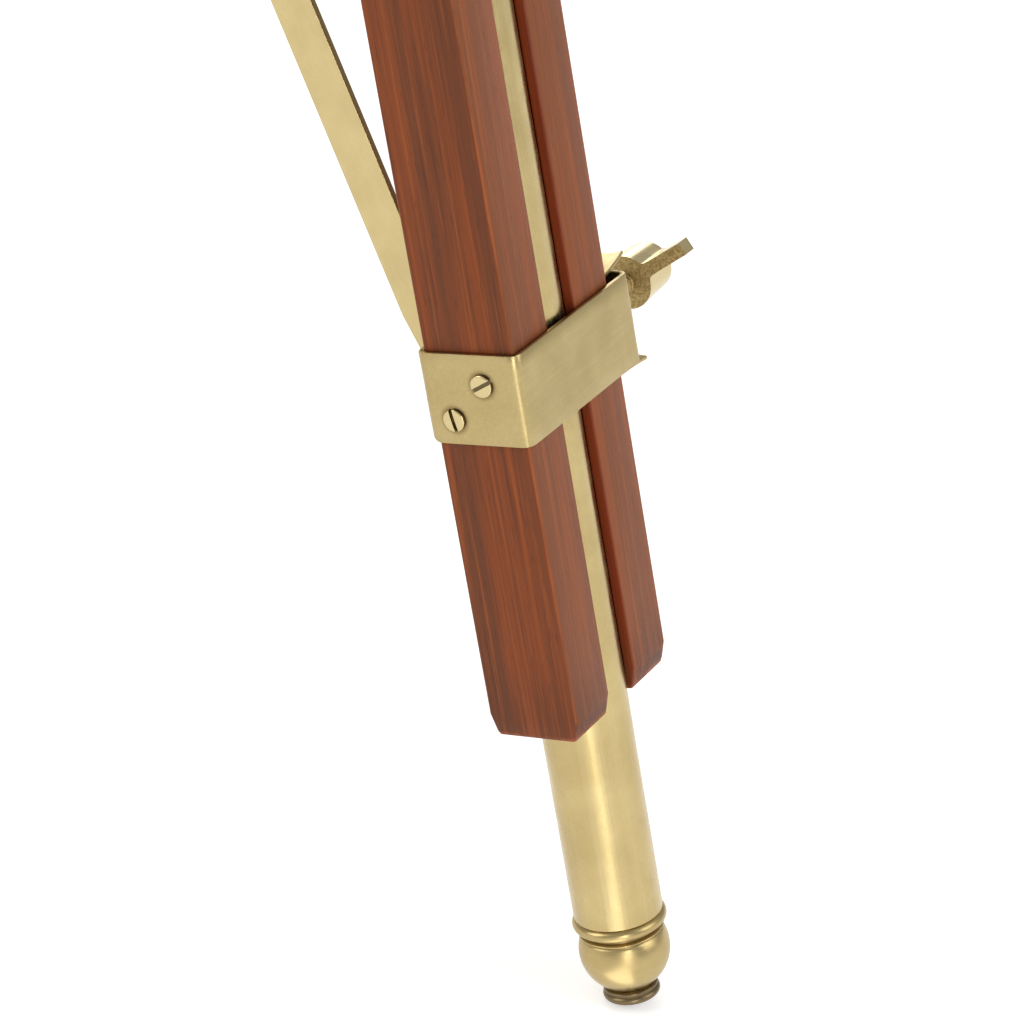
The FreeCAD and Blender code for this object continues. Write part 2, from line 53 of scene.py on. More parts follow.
# ---- Camera ------------------------------------------------------------------------------
# A long lens looks down on the lower part of leg 1 from its open side, rolled a little, so
# the leg runs from the upper left to the lower right and the other legs stay out of view.
EYE = Vector((0.6769, -0.7813, -0.4139))
EYE_RIGHT = Vector((0.8693, 0.4916, 0.0517))
EYE_UP = Vector((-0.2818, 0.4069, 0.8689))
FOCAL_MM, FILM_MM = 131.46, 36.0
lens = bpy.data.cameras.new("camera")
lens.lens = FOCAL_MM
lens.sensor_width = FILM_MM
lens.clip_start = 0.05
camera = bpy.data.objects.new("camera", lens)
bpy.context.scene.collection.objects.link(camera)
view_axes = Matrix((EYE_RIGHT, EYE_UP, EYE_RIGHT.cross(EYE_UP))).transposed()
camera.matrix_world = Matrix.Translation(EYE) @ view_axes.to_4x4()
bpy.context.scene.camera = camera

# ---- Floor and light ---------------------------------------------------------------------
# A seamless pale floor under the three feet, a bright even room and large soft lights to the
# left, right and back. A small low one in front lights the feet, and three strips that lie on
# the floor, wider with their distance from leg 1, draw the long streak down its tube.
FLOOR_HALF = 12.0
FLOOR_GLOW = 0.42
ROOM_LIGHT, ROOM_SEEN = 0.50, 0.95
ROOM_LIGHTS = (("light_left", (-1.9, -1.9, 0.6), (0.1, 0.0, -0.6), (1.8, 1.8), 36),
               ("light_right", (2.3, 0.3, 0.4), (0.2, 0.0, -0.7), (1.4, 1.8), 18),
               ("light_front", (1.30, -1.40, -0.58), (0.26, 0.0, -0.95), (0.26, 0.9), 7),
               ("light_back", (-1.7, 2.4, 0.1), (0.2, 0.0, -0.8), (1.9, 1.7), 30))
STREAK_FOOT, STREAK_WAY, STREAK_GLOW = (0.30, 0.0), math.radians(38.8), 4.0
STREAK_STRIPS = ((0.02, 0.12, 0.02), (0.12, 0.36, 0.05), (0.36, 1.20, 0.12))

floor_z = cad_low.z - 0.0002
floor_mesh = bpy.data.meshes.new("floor")
floor_corners = [(x * FLOOR_HALF, y * FLOOR_HALF, floor_z) for x, y in ((-1, -1), (1, -1), (1, 1), (-1, 1))]
floor_mesh.from_pydata(floor_corners, [], [(0, 1, 2, 3)])
floor = bpy.data.objects.new("floor", floor_mesh)
bpy.context.scene.collection.objects.link(floor)
paper = bpy.data.materials.new("floor_paper")
paper.use_nodes = True
paper_shader = paper.node_tree.nodes["Principled BSDF"]
paper_shader.inputs["Base Color"].default_value = (0.86, 0.86, 0.855, 1)
paper_shader.inputs["Roughness"].default_value = 0.9
paper_shader.inputs["Emission Color"].default_value = (1, 1, 1, 1)
paper_shader.inputs["Emission Strength"].default_value = FLOOR_GLOW
floor_mesh.materials.append(paper)

room = bpy.data.worlds.new("room")
room.use_nodes = True
background = room.node_tree.nodes["Background"]
background.inputs["Color"].default_value = (1.0, 1.0, 1.0, 1)
seen = room.node_tree.nodes.new("ShaderNodeLightPath")
level = room.node_tree.nodes.new("ShaderNodeMapRange")
level.inputs["To Min"].default_value = ROOM_LIGHT
level.inputs["To Max"].default_value = ROOM_SEEN
room.node_tree.links.new(seen.outputs["Is Camera Ray"], level.inputs["Value"])
room.node_tree.links.new(level.outputs["Result"], background.inputs["Strength"])
bpy.context.scene.world = room
bpy.context.scene.view_settings.view_transform = "Standard"


def soft_light(name, place, facing, size, power):
    lamp = bpy.data.lights.new(name, "AREA")
    lamp.shape = "RECTANGLE"
    lamp.size, lamp.size_y = size
    lamp.energy = power
    lamp_object = bpy.data.objects.new(name, lamp)
    bpy.context.scene.collection.objects.link(lamp_object)
    lamp_object.visible_camera = False
    lamp_object.location = place
    lamp_object.rotation_euler = facing


for name, place, aim, size, power in ROOM_LIGHTS:
    facing = (Vector(aim) - Vector(place)).to_track_quat("-Z", "Y").to_euler()
    soft_light(name, place, facing, size, power)
for near, far, width in STREAK_STRIPS:
    middle = (near + far) / 2
    place = (STREAK_FOOT[0] + middle * math.sin(STREAK_WAY), STREAK_FOOT[1] - middle * math.cos(STREAK_WAY),
             floor_z + 0.003)
    soft_light(f"light_low_{int(near * 100)}", place, (math.pi, 0.0, STREAK_WAY), (width, far - near),
               STREAK_GLOW * width * (far - near))

# ---- Rails -------------------------------------------------------------------------------
# Each leg is a pair of straight hardwood rails, planed, stained red-brown and waxed. Their
# long edges are worn round and the lower ends are chamfered. A groove inside holds the tube.
# The outline is drawn across the rail and carried up it, from the lower end to the round head.
MM = 0.001
LEGS = (1, 2, 3)
SPLAY = math.radians(14.0)
HINGE_OUT, HINGE_DOWN = 60.0, 42.0
HALF_WIDTH = 13.7
HALF_GAP = 7.3
LEG_SIDE = 25.7
RAIL_LOW = -950.0
GROOVE_R = 13.0
GROOVE_TOP = -320.0
EDGE_ROUND, INNER_ROUND = 0.9, 0.7
END_IN_FACE, END_UP_FACE = 1.8, 6.2
END_IN_SIDE, END_UP_SIDE = 0.5, 1.2
RAIL_EDGE_WEAR = 0.35


def leg_place(leg):
    """Where a piece drawn in the leg frame stands on leg 1, 2 or 3, in metres."""
    turn = Matrix.Rotation(math.radians(120.0) * (leg - 1), 4, "Z")
    hinge = Matrix.Translation((HINGE_OUT * MM, 0, -HINGE_DOWN * MM))
    return turn @ hinge @ Matrix.Rotation(-SPLAY, 4, "Y")


def link_value(tree, socket, value):
    if isinstance(value, bpy.types.NodeSocket):
        tree.links.new(value, socket)
    else:
        socket.default_value = value


def add_node(tree, kind, inputs, output=0, **settings):
    """Add one node, fill its inputs with numbers or links, and give back its output."""
    made = tree.nodes.new(kind)
    for name, value in settings.items():
        setattr(made, name, value)
    for key, value in inputs.items():
        link_value(tree, made.inputs[key], value)
    return made.outputs[output]


def calc(tree, operation, a, b=0.0):
    return add_node(tree, "ShaderNodeMath", {0: a, 1: b}, operation=operation)


def ease(tree, value, low, high, at_low=0.0, at_high=1.0):
    """Carry a value smoothly from one range to another."""
    return add_node(tree, "ShaderNodeMapRange",
                    {"Value": value, "From Min": low, "From Max": high, "To Min": at_low, "To Max": at_high},
                    interpolation_type="SMOOTHSTEP")


def mix_colour(tree, share, first, second):
    return add_node(tree, "ShaderNodeMix", {0: share, 6: first, 7: second}, output=2, data_type="RGBA")


def stretch(tree, place, scale, shift=(0, 0, 0)):
    return add_node(tree, "ShaderNodeMapping", {"Vector": place, "Scale": scale, "Location": shift})


def cloud(tree, place, scale, detail=3.0, rough=0.5):
    """Soft random value from 0 to 1."""
    return add_node(tree, "ShaderNodeTexNoise",
                    {"Vector": place, "Scale": scale, "Detail": detail, "Roughness": rough})


def bump(tree, shader, height, depth, strength=1.0):
    tree.links.new(add_node(tree, "ShaderNodeBump",
                            {"Height": height, "Distance": depth, "Strength": strength}),
                   shader.inputs["Normal"])


def paint(red, green, blue):
    """A colour from the 0 to 255 numbers of a paint card."""
    def line(c):
        c /= 255.0
        return c / 12.92 if c <= 0.04045 else ((c + 0.055) / 1.055) ** 2.4
    return (line(red), line(green), line(blue), 1.0)


def new_finish(name, place=None, metallic=0.0, roughness=0.4):
    """A material whose pattern lies in the frame of the leg, or of the head if place is None."""
    finish = bpy.data.materials.new(name)
    finish.use_nodes = True
    tree = finish.node_tree
    shader = tree.nodes["Principled BSDF"]
    shader.inputs["Metallic"].default_value = metallic
    shader.inputs["Roughness"].default_value = roughness
    at = tree.nodes.new("ShaderNodeTexCoord").outputs["Object"]
    if place is not None:
        back = place.inverted()
        at = add_node(tree, "ShaderNodeMapping",
                      {"Vector": at, "Location": back.translation, "Rotation": back.to_euler()})
    return finish, tree, shader, at


def wood_finish(name, place, worn, seed):
    """Stained hardwood, grain along Z: wide dull and red streaks, fibres and pores.

    worn adds what only a rail has: wide faces painted paler as a painted sheen, rubbed edges paler from wear
    and with a painted highlight, an inner face in the gap painted darker as dust and painted shade, and a
    darker lower end.
    """
    finish, tree, shader, at = new_finish(name, place, roughness=0.36)
    shader.inputs["Specular IOR Level"].default_value = 0.17
    own = stretch(tree, at, (1, 1, 1), (0.31 * seed, 0.17 * seed, 0.73 * seed))
    sway = cloud(tree, stretch(tree, own, (30, 30, 5)), 1.0, 1.0)
    sway = calc(tree, "MULTIPLY", calc(tree, "SUBTRACT", sway, 0.5), 0.004)
    aside = add_node(tree, "ShaderNodeCombineXYZ", {"X": sway, "Y": sway})
    bent = add_node(tree, "ShaderNodeVectorMath", {0: own, 1: aside}, operation="ADD")
    wide = cloud(tree, stretch(tree, bent, (230, 230, 4.5)), 1.0, 3.0, 0.55)
    streak = cloud(tree, stretch(tree, bent, (820, 820, 12), (3, 1, 5)), 1.0, 3.0, 0.6)
    fibre = cloud(tree, stretch(tree, bent, (1900, 1900, 26), (7, 2, 1)), 1.0, 2.0, 0.6)
    pore = cloud(tree, stretch(tree, bent, (2600, 2600, 130), (1, 8, 4)), 1.0, 1.0)
    colour = mix_colour(tree, ease(tree, wide, 0.36, 0.64), paint(120, 59, 26), paint(97, 52, 28))
    colour = mix_colour(tree, ease(tree, streak, 0.50, 0.72, 0.0, 0.75), colour, paint(140, 71, 28))
    colour = mix_colour(tree, ease(tree, streak, 0.46, 0.28, 0.0, 0.7), colour, paint(82, 43, 25))
    colour = mix_colour(tree, ease(tree, fibre, 0.60, 0.78, 0.0, 0.6), colour, paint(150, 82, 38))
    colour = mix_colour(tree, ease(tree, fibre, 0.42, 0.25, 0.0, 0.55), colour, paint(74, 37, 21))
    colour = mix_colour(tree, ease(tree, pore, 0.66, 0.74, 0.0, 0.45), colour, paint(56, 28, 16))
    if worn:
        x, y, z = add_node(tree, "ShaderNodeSeparateXYZ", {"Vector": at}).node.outputs
        face = ease(tree, calc(tree, "ABSOLUTE", x), (HALF_WIDTH - 0.8) * MM, (HALF_WIDTH - 0.1) * MM)
        side = calc(tree, "ABSOLUTE", y)
        # Painted sheen: the wide faces are painted paler, standing in for the reflection on their waxed
        # surface.
        colour = mix_colour(tree, calc(tree, "MULTIPLY", face, 0.26), colour, paint(162, 95, 54))
        outer = ease(tree, side, (LEG_SIDE - 0.8) * MM, (LEG_SIDE - 0.1) * MM)
        inner = ease(tree, side, (HALF_GAP + 0.6) * MM, (HALF_GAP + 0.1) * MM)
        low = ease(tree, z, (RAIL_LOW + 1.6) * MM, (RAIL_LOW + 0.2) * MM)
        # The inner face in the gap between the rails is painted darker, partly dust and partly painted shade.
        colour = mix_colour(tree, calc(tree, "MULTIPLY", inner, 0.7), colour, paint(112, 36, 13))
        # Rubbed edges along the outer long corners and the lower end are painted paler orange, partly wear
        # and partly a painted highlight.
        edge = calc(tree, "MULTIPLY", face, outer)
        edge = calc(tree, "MAXIMUM", edge, calc(tree, "MULTIPLY", low, 0.8))
        # Darker towards the lower end of the rail.
        darker_low = ease(tree, z, (RAIL_LOW + 26.0) * MM, (RAIL_LOW + 4.0) * MM, 0.0, 0.55)
        darker_low = calc(tree, "MULTIPLY", darker_low, ease(tree, streak, 0.62, 0.40, 0.35, 1.0))
        colour = mix_colour(tree, darker_low, colour, paint(78, 44, 27))
        patchy = ease(tree, cloud(tree, stretch(tree, own, (160, 160, 26)), 1.0, 4.0, 0.65), 0.36, 0.62)
        edge = calc(tree, "MULTIPLY", calc(tree, "MULTIPLY", edge, patchy), 0.72)
        colour = mix_colour(tree, edge, colour, paint(172, 88, 44))
    tree.links.new(colour, shader.inputs["Base Color"])
    gloss = cloud(tree, stretch(tree, own, (60, 60, 9)), 1.0, 3.0)
    gloss = calc(tree, "ADD", ease(tree, gloss, 0.3, 0.7, 0.30, 0.42), calc(tree, "MULTIPLY", fibre, 0.08))
    tree.links.new(gloss, shader.inputs["Roughness"])
    ridges = calc(tree, "ADD", calc(tree, "MULTIPLY", fibre, 0.6), calc(tree, "MULTIPLY", streak, 0.4))
    ridges = calc(tree, "SUBTRACT", ridges, ease(tree, pore, 0.62, 0.74, 0.0, 0.7))
    bump(tree, shader, ridges, 0.00012, 0.7)
    return finish


def make_piece(name, shape, body, finish, nodes, place=None, sharp=38.0, edge=0.0, parts=2):
    """Finish a shape as a piece on its body: in place, smooth, edges eased by a bevel if asked."""
    mesh = bpy.data.meshes.new(name)
    solid = shape.copy()
    if place is not None:
        bmesh.ops.transform(solid, matrix=place, verts=solid.verts)
    bmesh.ops.recalc_face_normals(solid, faces=solid.faces)
    solid.to_mesh(mesh)
    solid.free()
    mesh.polygons.foreach_set("use_smooth", [True] * len(mesh.polygons))
    mesh.set_sharp_from_angle(angle=math.radians(sharp))
    mesh.materials.append(finish)
    piece = bpy.data.objects.new(name, mesh)
    bpy.context.scene.collection.objects.link(piece)
    if edge:
        ease_edge = piece.modifiers.new("eased_edges", "BEVEL")
        ease_edge.width = edge * MM
        ease_edge.segments = parts
        ease_edge.limit_method = "ANGLE"
        ease_edge.angle_limit = math.radians(30)
        ease_edge.harden_normals = True
    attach(piece, body)
    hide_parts(*nodes)


def skin(rings, close_along=False, cap=True):
    """Solid from outlines with the same number of points, the ends closed."""
    shape = bmesh.new()
    rows = [[shape.verts.new(Vector(p) * MM) for p in ring] for ring in rings]
    count = len(rows[0])
    pairs = list(zip(rows, rows[1:])) + ([(rows[-1], rows[0])] if close_along else [])
    for low, high in pairs:
        for i in range(count):
            j = (i + 1) % count
            shape.faces.new((low[i], low[j], high[j], high[i]))
    if cap and not close_along:
        shape.faces.new(rows[0])
        shape.faces.new(rows[-1])
    bmesh.ops.remove_doubles(shape, verts=shape.verts, dist=1e-7)
    bmesh.ops.dissolve_degenerate(shape, edges=shape.edges, dist=1e-7)
    return shape


def rail_outline(z, side, in_face, in_side, grooved, narrow):
    """The rail's outline across at one height. narrow shrinks its width, for the round head."""
    outer = LEG_SIDE - in_side
    points = []
    for corner, start in ((1, 0.0), (-1, 90.0)):
        for step in range(5):
            a = math.radians(start + 22.5 * step)
            points.append((corner * (HALF_WIDTH - EDGE_ROUND) + EDGE_ROUND * math.cos(a),
                           outer - EDGE_ROUND + EDGE_ROUND * math.sin(a)))
    mouth = math.sqrt(GROOVE_R ** 2 - HALF_GAP ** 2)
    for step in range(4):
        a = math.radians(180 + 30 * step)
        points.append((INNER_ROUND - HALF_WIDTH + INNER_ROUND * math.cos(a),
                       HALF_GAP + INNER_ROUND + INNER_ROUND * math.sin(a)))
    half_groove = math.asin(mouth / GROOVE_R)
    for step in range(25):
        a = half_groove * (1 - step / 12.0)
        x = -GROOVE_R * math.sin(a)
        points.append((x, GROOVE_R * math.cos(a) if grooved else HALF_GAP))
    for step in range(4):
        a = math.radians(270 + 30 * step)
        points.append((HALF_WIDTH - INNER_ROUND + INNER_ROUND * math.cos(a),
                       HALF_GAP + INNER_ROUND + INNER_ROUND * math.sin(a)))
    squeeze = narrow * (HALF_WIDTH - in_face) / HALF_WIDTH
    return [(x * squeeze, side * y, z) for x, y in points]


def rail_shape(side):
    """One rail: chamfered end, grooved length, plain upper length and round head."""
    levels = [(RAIL_LOW, END_IN_FACE, END_IN_SIDE, True, 1.0)]
    part_in = END_IN_FACE * (1 - END_UP_SIDE / END_UP_FACE)
    levels.append((RAIL_LOW + END_UP_SIDE, part_in, 0.0, True, 1.0))
    levels.append((RAIL_LOW + END_UP_FACE, 0.0, 0.0, True, 1.0))
    steps = 12
    for step in range(1, steps + 1):
        z = RAIL_LOW + END_UP_FACE + (GROOVE_TOP - RAIL_LOW - END_UP_FACE) * step / steps
        levels.append((z, 0.0, 0.0, True, 1.0))
    levels.append((GROOVE_TOP, 0.0, 0.0, False, 1.0))
    levels.append((GROOVE_TOP / 2, 0.0, 0.0, False, 1.0))
    for step in range(0, 13):
        a = math.radians(90.0 * step / 12)
        levels.append((HALF_WIDTH * math.sin(a), 0.0, 0.0, False, max(math.cos(a), 0.002)))
    return skin([rail_outline(z, side, *rest) for z, *rest in levels])


rail_shapes = {1: rail_shape(-1), 2: rail_shape(1)}
for leg in LEGS:
    wood = wood_finish(f"wood_leg_{leg}", leg_place(leg), True, leg)
    for number, shape in rail_shapes.items():
        make_piece(f"leg_{leg}_rail_{number}_wood", shape, f"leg_{leg}", wood,
                   [f"leg_{leg}_rail_{number}"], leg_place(leg), edge=RAIL_EDGE_WEAR)
    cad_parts[f"leg_{leg}_spacer"].data.materials[0] = wood

# ---- Clamp band --------------------------------------------------------------------------
# A strip of 1.5 mm sheet brass, bent round both rails and closed at the wing screw's end, then
# brushed and darkened. It was bent by hand: its wide faces are not quite flat, and its lower
# edge is raised on the lug's side. Painted shade darkens its inside, and the dark ring painted
# round each of its two screws is partly dirt and partly painted shade.
BAND_LOW, BAND_TALL = -863.1, 25.6
BAND_MID = BAND_LOW + BAND_TALL / 2
BAND_OUT = 15.4
BAND_START, BAND_END = -27.4, 35.0
SHEET = 1.5
SHEET_EDGE = 0.35
BEND_R = 3.0
CORNER_LIFT = 1.9
SCREW_PLACES = ((3.7, BAND_MID + 4.3), (-6.5, BAND_MID - 5.8))
BRASS = paint(198, 178, 126)
BRASS_DEEP = paint(184, 163, 112)
BRASS_PALE = paint(220, 204, 158)
BRASS_BROWN = paint(122, 100, 64)
BRASS_AGED = paint(150, 132, 88)


def brass_finish(name, place, brushed, roughness=0.3, marks=1.0, tarnish=0.25, aged=0.0):
    """Lacquered brass. brushed is how fast the fine lines change along X, Y and Z, per metre."""
    finish, tree, shader, at = new_finish(name, place, metallic=1.0, roughness=roughness)
    tone = cloud(tree, at, 55.0, 4.0, 0.55)
    colour = mix_colour(tree, ease(tree, tone, 0.30, 0.72), BRASS_DEEP, BRASS)
    colour = mix_colour(tree, aged, colour, BRASS_AGED)
    lines = cloud(tree, stretch(tree, at, brushed), 1.0, 3.0, 0.62)
    colour = mix_colour(tree, ease(tree, lines, 0.40, 0.75, 0.0, 0.16), colour, BRASS_PALE)
    spots = cloud(tree, at, 420.0, 5.0, 0.7)
    colour = mix_colour(tree, ease(tree, spots, 0.62, 0.80, 0.0, tarnish), colour, BRASS_BROWN)
    wiped = cloud(tree, at, 120.0, 3.0, 0.6)
    gloss = ease(tree, wiped, 0.3, 0.7, roughness - 0.05, roughness + 0.07)
    gloss = calc(tree, "ADD", gloss, ease(tree, lines, 0.3, 0.7, -0.03, 0.04))
    tree.links.new(gloss, shader.inputs["Roughness"])
    bump(tree, shader, lines, 0.00004 * marks, 0.55)
    return finish, tree, shader, at, colour


def set_colour(tree, shader, colour):
    tree.links.new(colour, shader.inputs["Base Color"])


def band_path(round_r, inset):
    """Rounded rectangle round the rails, inset by a part of the sheet's thickness."""
    x1, y0, y1 = BAND_OUT - inset, BAND_START + inset, BAND_END - inset
    r = max(round_r - inset, 0.5)
    path = []
    corners = ((x1 - r, y0 + r, 270), (x1 - r, y1 - r, 0), (r - x1, y1 - r, 90), (r - x1, y0 + r, 180))
    for k, (cx, cy, start) in enumerate(corners):
        for step in range(7):
            a = math.radians(start + 15.0 * step)
            path.append((cx + r * math.cos(a), cy + r * math.sin(a)))
        nx, ny, nstart = corners[(k + 1) % 4]
        a, b = math.radians(start + 90), math.radians(nstart)
        p = (cx + r * math.cos(a), cy + r * math.sin(a))
        q = (nx + r * math.cos(b), ny + r * math.sin(b))
        spans = 12 if k % 2 == 0 else 6
        path += [(p[0] + (q[0] - p[0]) * s / spans, p[1] + (q[1] - p[1]) * s / spans)
                 for s in range(1, spans)]
    return path


def band_shape(low, tall, path_of, wobble=0.10, lift=0.0):
    """Bent strip with eased edges: up the outside, over the edge, down the inside.

    wobble dents the wide faces, and lift raises the lower edge on the lug's side.
    """
    outer, inner = path_of(0.0), path_of(SHEET)
    edge, part, high = SHEET_EDGE, SHEET_EDGE * 0.3, low + tall
    spans = 6
    rows = [(0.0, low + edge + (tall - 2 * edge) * step / spans) for step in range(spans + 1)]
    rows += [(part, high - part), (edge, high), (SHEET - edge, high), (SHEET - part, high - part),
             (SHEET, high - edge), (SHEET, low + edge), (SHEET - part, low + part),
             (SHEET - edge, low), (edge, low), (part, low + part)]
    rings = []
    for depth, z in rows:
        share = depth / SHEET
        ring = []
        for (ax, ay), (bx, by) in zip(outer, inner):
            x, y = ax + (bx - ax) * share, ay + (by - ay) * share
            dent = wobble * (math.sin(y * 0.21 + z * 0.13) * math.sin(z * 0.24 - y * 0.05) - 1.0) * 0.5
            flat = min(1.0, max(0.0, (abs(x) - 13.0) / 2.0)) * (1 - share)
            inward = min(1.0, max(0.0, (-11.8 - x) / 3.6))
            raised = lift * inward ** 2 * min(1.0, max(0.0, 1 - (z - low) / 8.0))
            ring.append((x + math.copysign(dent * flat, x), y, z + raised))
        rings.append(ring)
    return skin(rings, close_along=True, cap=False)


strap_shape = band_shape(BAND_LOW, BAND_TALL, lambda inset: band_path(BEND_R, inset), lift=CORNER_LIFT)
for leg in LEGS:
    sheet, tree, shader, at, colour = brass_finish(f"sheet_brass_leg_{leg}", leg_place(leg), (1500, 60, 1500),
                                                   0.34, 0.8, 0.10, 0.36)
    for x, z in SCREW_PLACES:
        centre = leg_place(leg) @ Vector((x * MM, BAND_START * MM, z * MM))
        world_at = tree.nodes["Texture Coordinate"].outputs["Object"]
        away = add_node(tree, "ShaderNodeVectorMath", {0: world_at, 1: centre}, output="Value",
                        operation="DISTANCE")
        # A dark ring is painted round each screw head, partly dirt and partly painted shade.
        colour = mix_colour(tree, ease(tree, away, 0.0048, 0.0031, 0.0, 0.75), colour, BRASS_BROWN)
    # Painted shade: the inside of the band, round the rails, is painted dark.
    across, along, _ = add_node(tree, "ShaderNodeSeparateXYZ", {"Vector": at}).node.outputs
    in_x = ease(tree, calc(tree, "ABSOLUTE", across), (BAND_OUT - 0.7) * MM, (BAND_OUT - 1.1) * MM)
    in_y = ease(tree, along, (BAND_START + 0.7) * MM, (BAND_START + 1.1) * MM)
    in_y = calc(tree, "MULTIPLY", in_y, ease(tree, along, (BAND_END - 10.0) * MM, (BAND_END - 14.0) * MM))
    inside = calc(tree, "MULTIPLY", calc(tree, "MULTIPLY", in_x, in_y), 0.9)
    colour = mix_colour(tree, inside, colour, paint(52, 38, 20))
    set_colour(tree, shader, colour)
    make_piece(f"leg_{leg}_strap_bent", strap_shape, f"leg_{leg}", sheet,
               [f"leg_{leg}_strap"], leg_place(leg))
    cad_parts[f"leg_{leg}_clamp_nut"].data.materials[0] = sheet

# ---- Strap screws ------------------------------------------------------------------------
# Two slotted brass screws hold each strap to rail 1. Their low heads were filed flat. Their slots
# and the lower part of each head, by the strap, are painted dark, partly dirt and partly painted
# shade. One tree sets copies of a part on points, each with its own turn; it serves the screws,
# rivets, bolts, ribs and stitches of the tripod.
HEAD_R, HEAD_HIGH = 3.15, 1.05
SLOT_HALF, SLOT_DEEP = 0.52, 0.95
SHANK_R, SHANK_LONG = 1.7, 11.5
SCREW_TURNS = (26.0, 100.0)


def new_tree(name, inputs):
    """Start a tree with named inputs, and give it back with the outputs that carry them."""
    tree = bpy.data.node_groups.new(name, "GeometryNodeTree")
    tree.interface.new_socket("Geometry", in_out="INPUT", socket_type="NodeSocketGeometry")
    for label, kind in inputs:
        tree.interface.new_socket(label, in_out="INPUT", socket_type="NodeSocket" + kind)
    tree.interface.new_socket("Geometry", in_out="OUTPUT", socket_type="NodeSocketGeometry")
    start = tree.nodes.new("NodeGroupInput")
    return tree, start.outputs


def end_tree(tree, shape, finish):
    """Turn the tree's copies into one real mesh and give it its finish."""
    solid = add_node(tree, "GeometryNodeRealizeInstances", {0: shape})
    dressed = add_node(tree, "GeometryNodeSetMaterial", {"Geometry": solid, "Material": finish})
    tree.links.new(dressed, tree.nodes.new("NodeGroupOutput").inputs[0])


def bake(tree, carrier_mesh, values):
    """Run a tree on a mesh with its named inputs set, and give back the plain mesh."""
    carrier = bpy.data.objects.new("carrier", carrier_mesh)
    bpy.context.scene.collection.objects.link(carrier)
    step = carrier.modifiers.new("tree", "NODES")
    step.node_group = tree
    for socket in tree.interface.items_tree:
        if socket.in_out == "INPUT" and socket.name in values:
            step[socket.identifier] = values[socket.name]
    bpy.context.view_layer.update()
    made = carrier.evaluated_get(bpy.context.evaluated_depsgraph_get())
    mesh = bpy.data.meshes.new_from_object(made)
    bpy.data.objects.remove(carrier)
    finish = [m for m in mesh.materials if m][-1]
    mesh.materials.clear()
    mesh.materials.append(finish)
    mesh.polygons.foreach_set("material_index", [0] * len(mesh.polygons))
    return mesh


repeat, asked = new_tree("set_on_points", (("Part", "Object"), ("Finish", "Material")))
part_shape = add_node(repeat, "GeometryNodeObjectInfo", {"Object": asked["Part"]}, output="Geometry")
own_turn = add_node(repeat, "GeometryNodeInputNamedAttribute", {"Name": "turn"}, data_type="FLOAT_VECTOR")
own_size = add_node(repeat, "GeometryNodeInputNamedAttribute", {"Name": "size"}, data_type="FLOAT_VECTOR")
copies = add_node(repeat, "GeometryNodeInstanceOnPoints",
                  {"Points": add_node(repeat, "GeometryNodeMeshToPoints", {"Mesh": asked["Geometry"]}),
                   "Instance": part_shape, "Rotation": own_turn, "Scale": own_size})
end_tree(repeat, copies, asked["Finish"])


def shape_mesh(shape, name):
    bmesh.ops.recalc_face_normals(shape, faces=shape.faces)
    mesh = bpy.data.meshes.new(name)
    shape.to_mesh(mesh)
    return mesh


def set_on_points(part, places, finish):
    """One mesh of copies of a part. places holds (point, turn, size), in mm and degrees."""
    mesh = bpy.data.meshes.new("points")
    mesh.from_pydata([Vector(p) * MM for p, _, _ in places], [], [])
    turns = mesh.attributes.new("turn", "FLOAT_VECTOR", "POINT")
    sizes = mesh.attributes.new("size", "FLOAT_VECTOR", "POINT")
    for i, (_, turn, size) in enumerate(places):
        turns.data[i].vector = [math.radians(a) for a in turn]
        sizes.data[i].vector = size
    pattern = bpy.data.objects.new("part", shape_mesh(part, "part"))
    made = bake(repeat, mesh, {"Part": pattern, "Finish": finish})
    bpy.data.objects.remove(pattern)
    return made


def dress(name, mesh, body, nodes, place=None):
    """Make a baked mesh, which has its finish already, a piece on its body."""
    shape = bmesh.new()
    shape.from_mesh(mesh)
    make_piece(name, shape, body, mesh.materials[0], nodes, place)
    shape.free()


def turned(profile, sides=72, closed=False):
    """Turn an outline of (radius, height) round the Z axis. closed joins its ends."""
    shape = bmesh.new()
    rows = []
    for r, z in profile:
        if r < 1e-6:
            rows.append([shape.verts.new((0, 0, z * MM))])
            continue
        rows.append([shape.verts.new((r * math.cos(a) * MM, r * math.sin(a) * MM, z * MM))
                     for a in (2 * math.pi * i / sides for i in range(sides))])
    for low, high in list(zip(rows, rows[1:])) + ([(rows[-1], rows[0])] if closed else []):
        for i in range(sides):
            j = (i + 1) % sides
            corners = [low[i % len(low)], low[j % len(low)], high[j % len(high)], high[i % len(high)]]
            unique = list(dict.fromkeys(corners))
            if len(unique) > 2:
                shape.faces.new(unique)
    return shape


def arc(centre_r, centre_z, radius, start, end, steps=8):
    """Points of an arc in a turned outline, angles in degrees from outward."""
    return [(centre_r + radius * math.cos(math.radians(start + (end - start) * s / steps)),
             centre_z + radius * math.sin(math.radians(start + (end - start) * s / steps)))
            for s in range(steps + 1)]


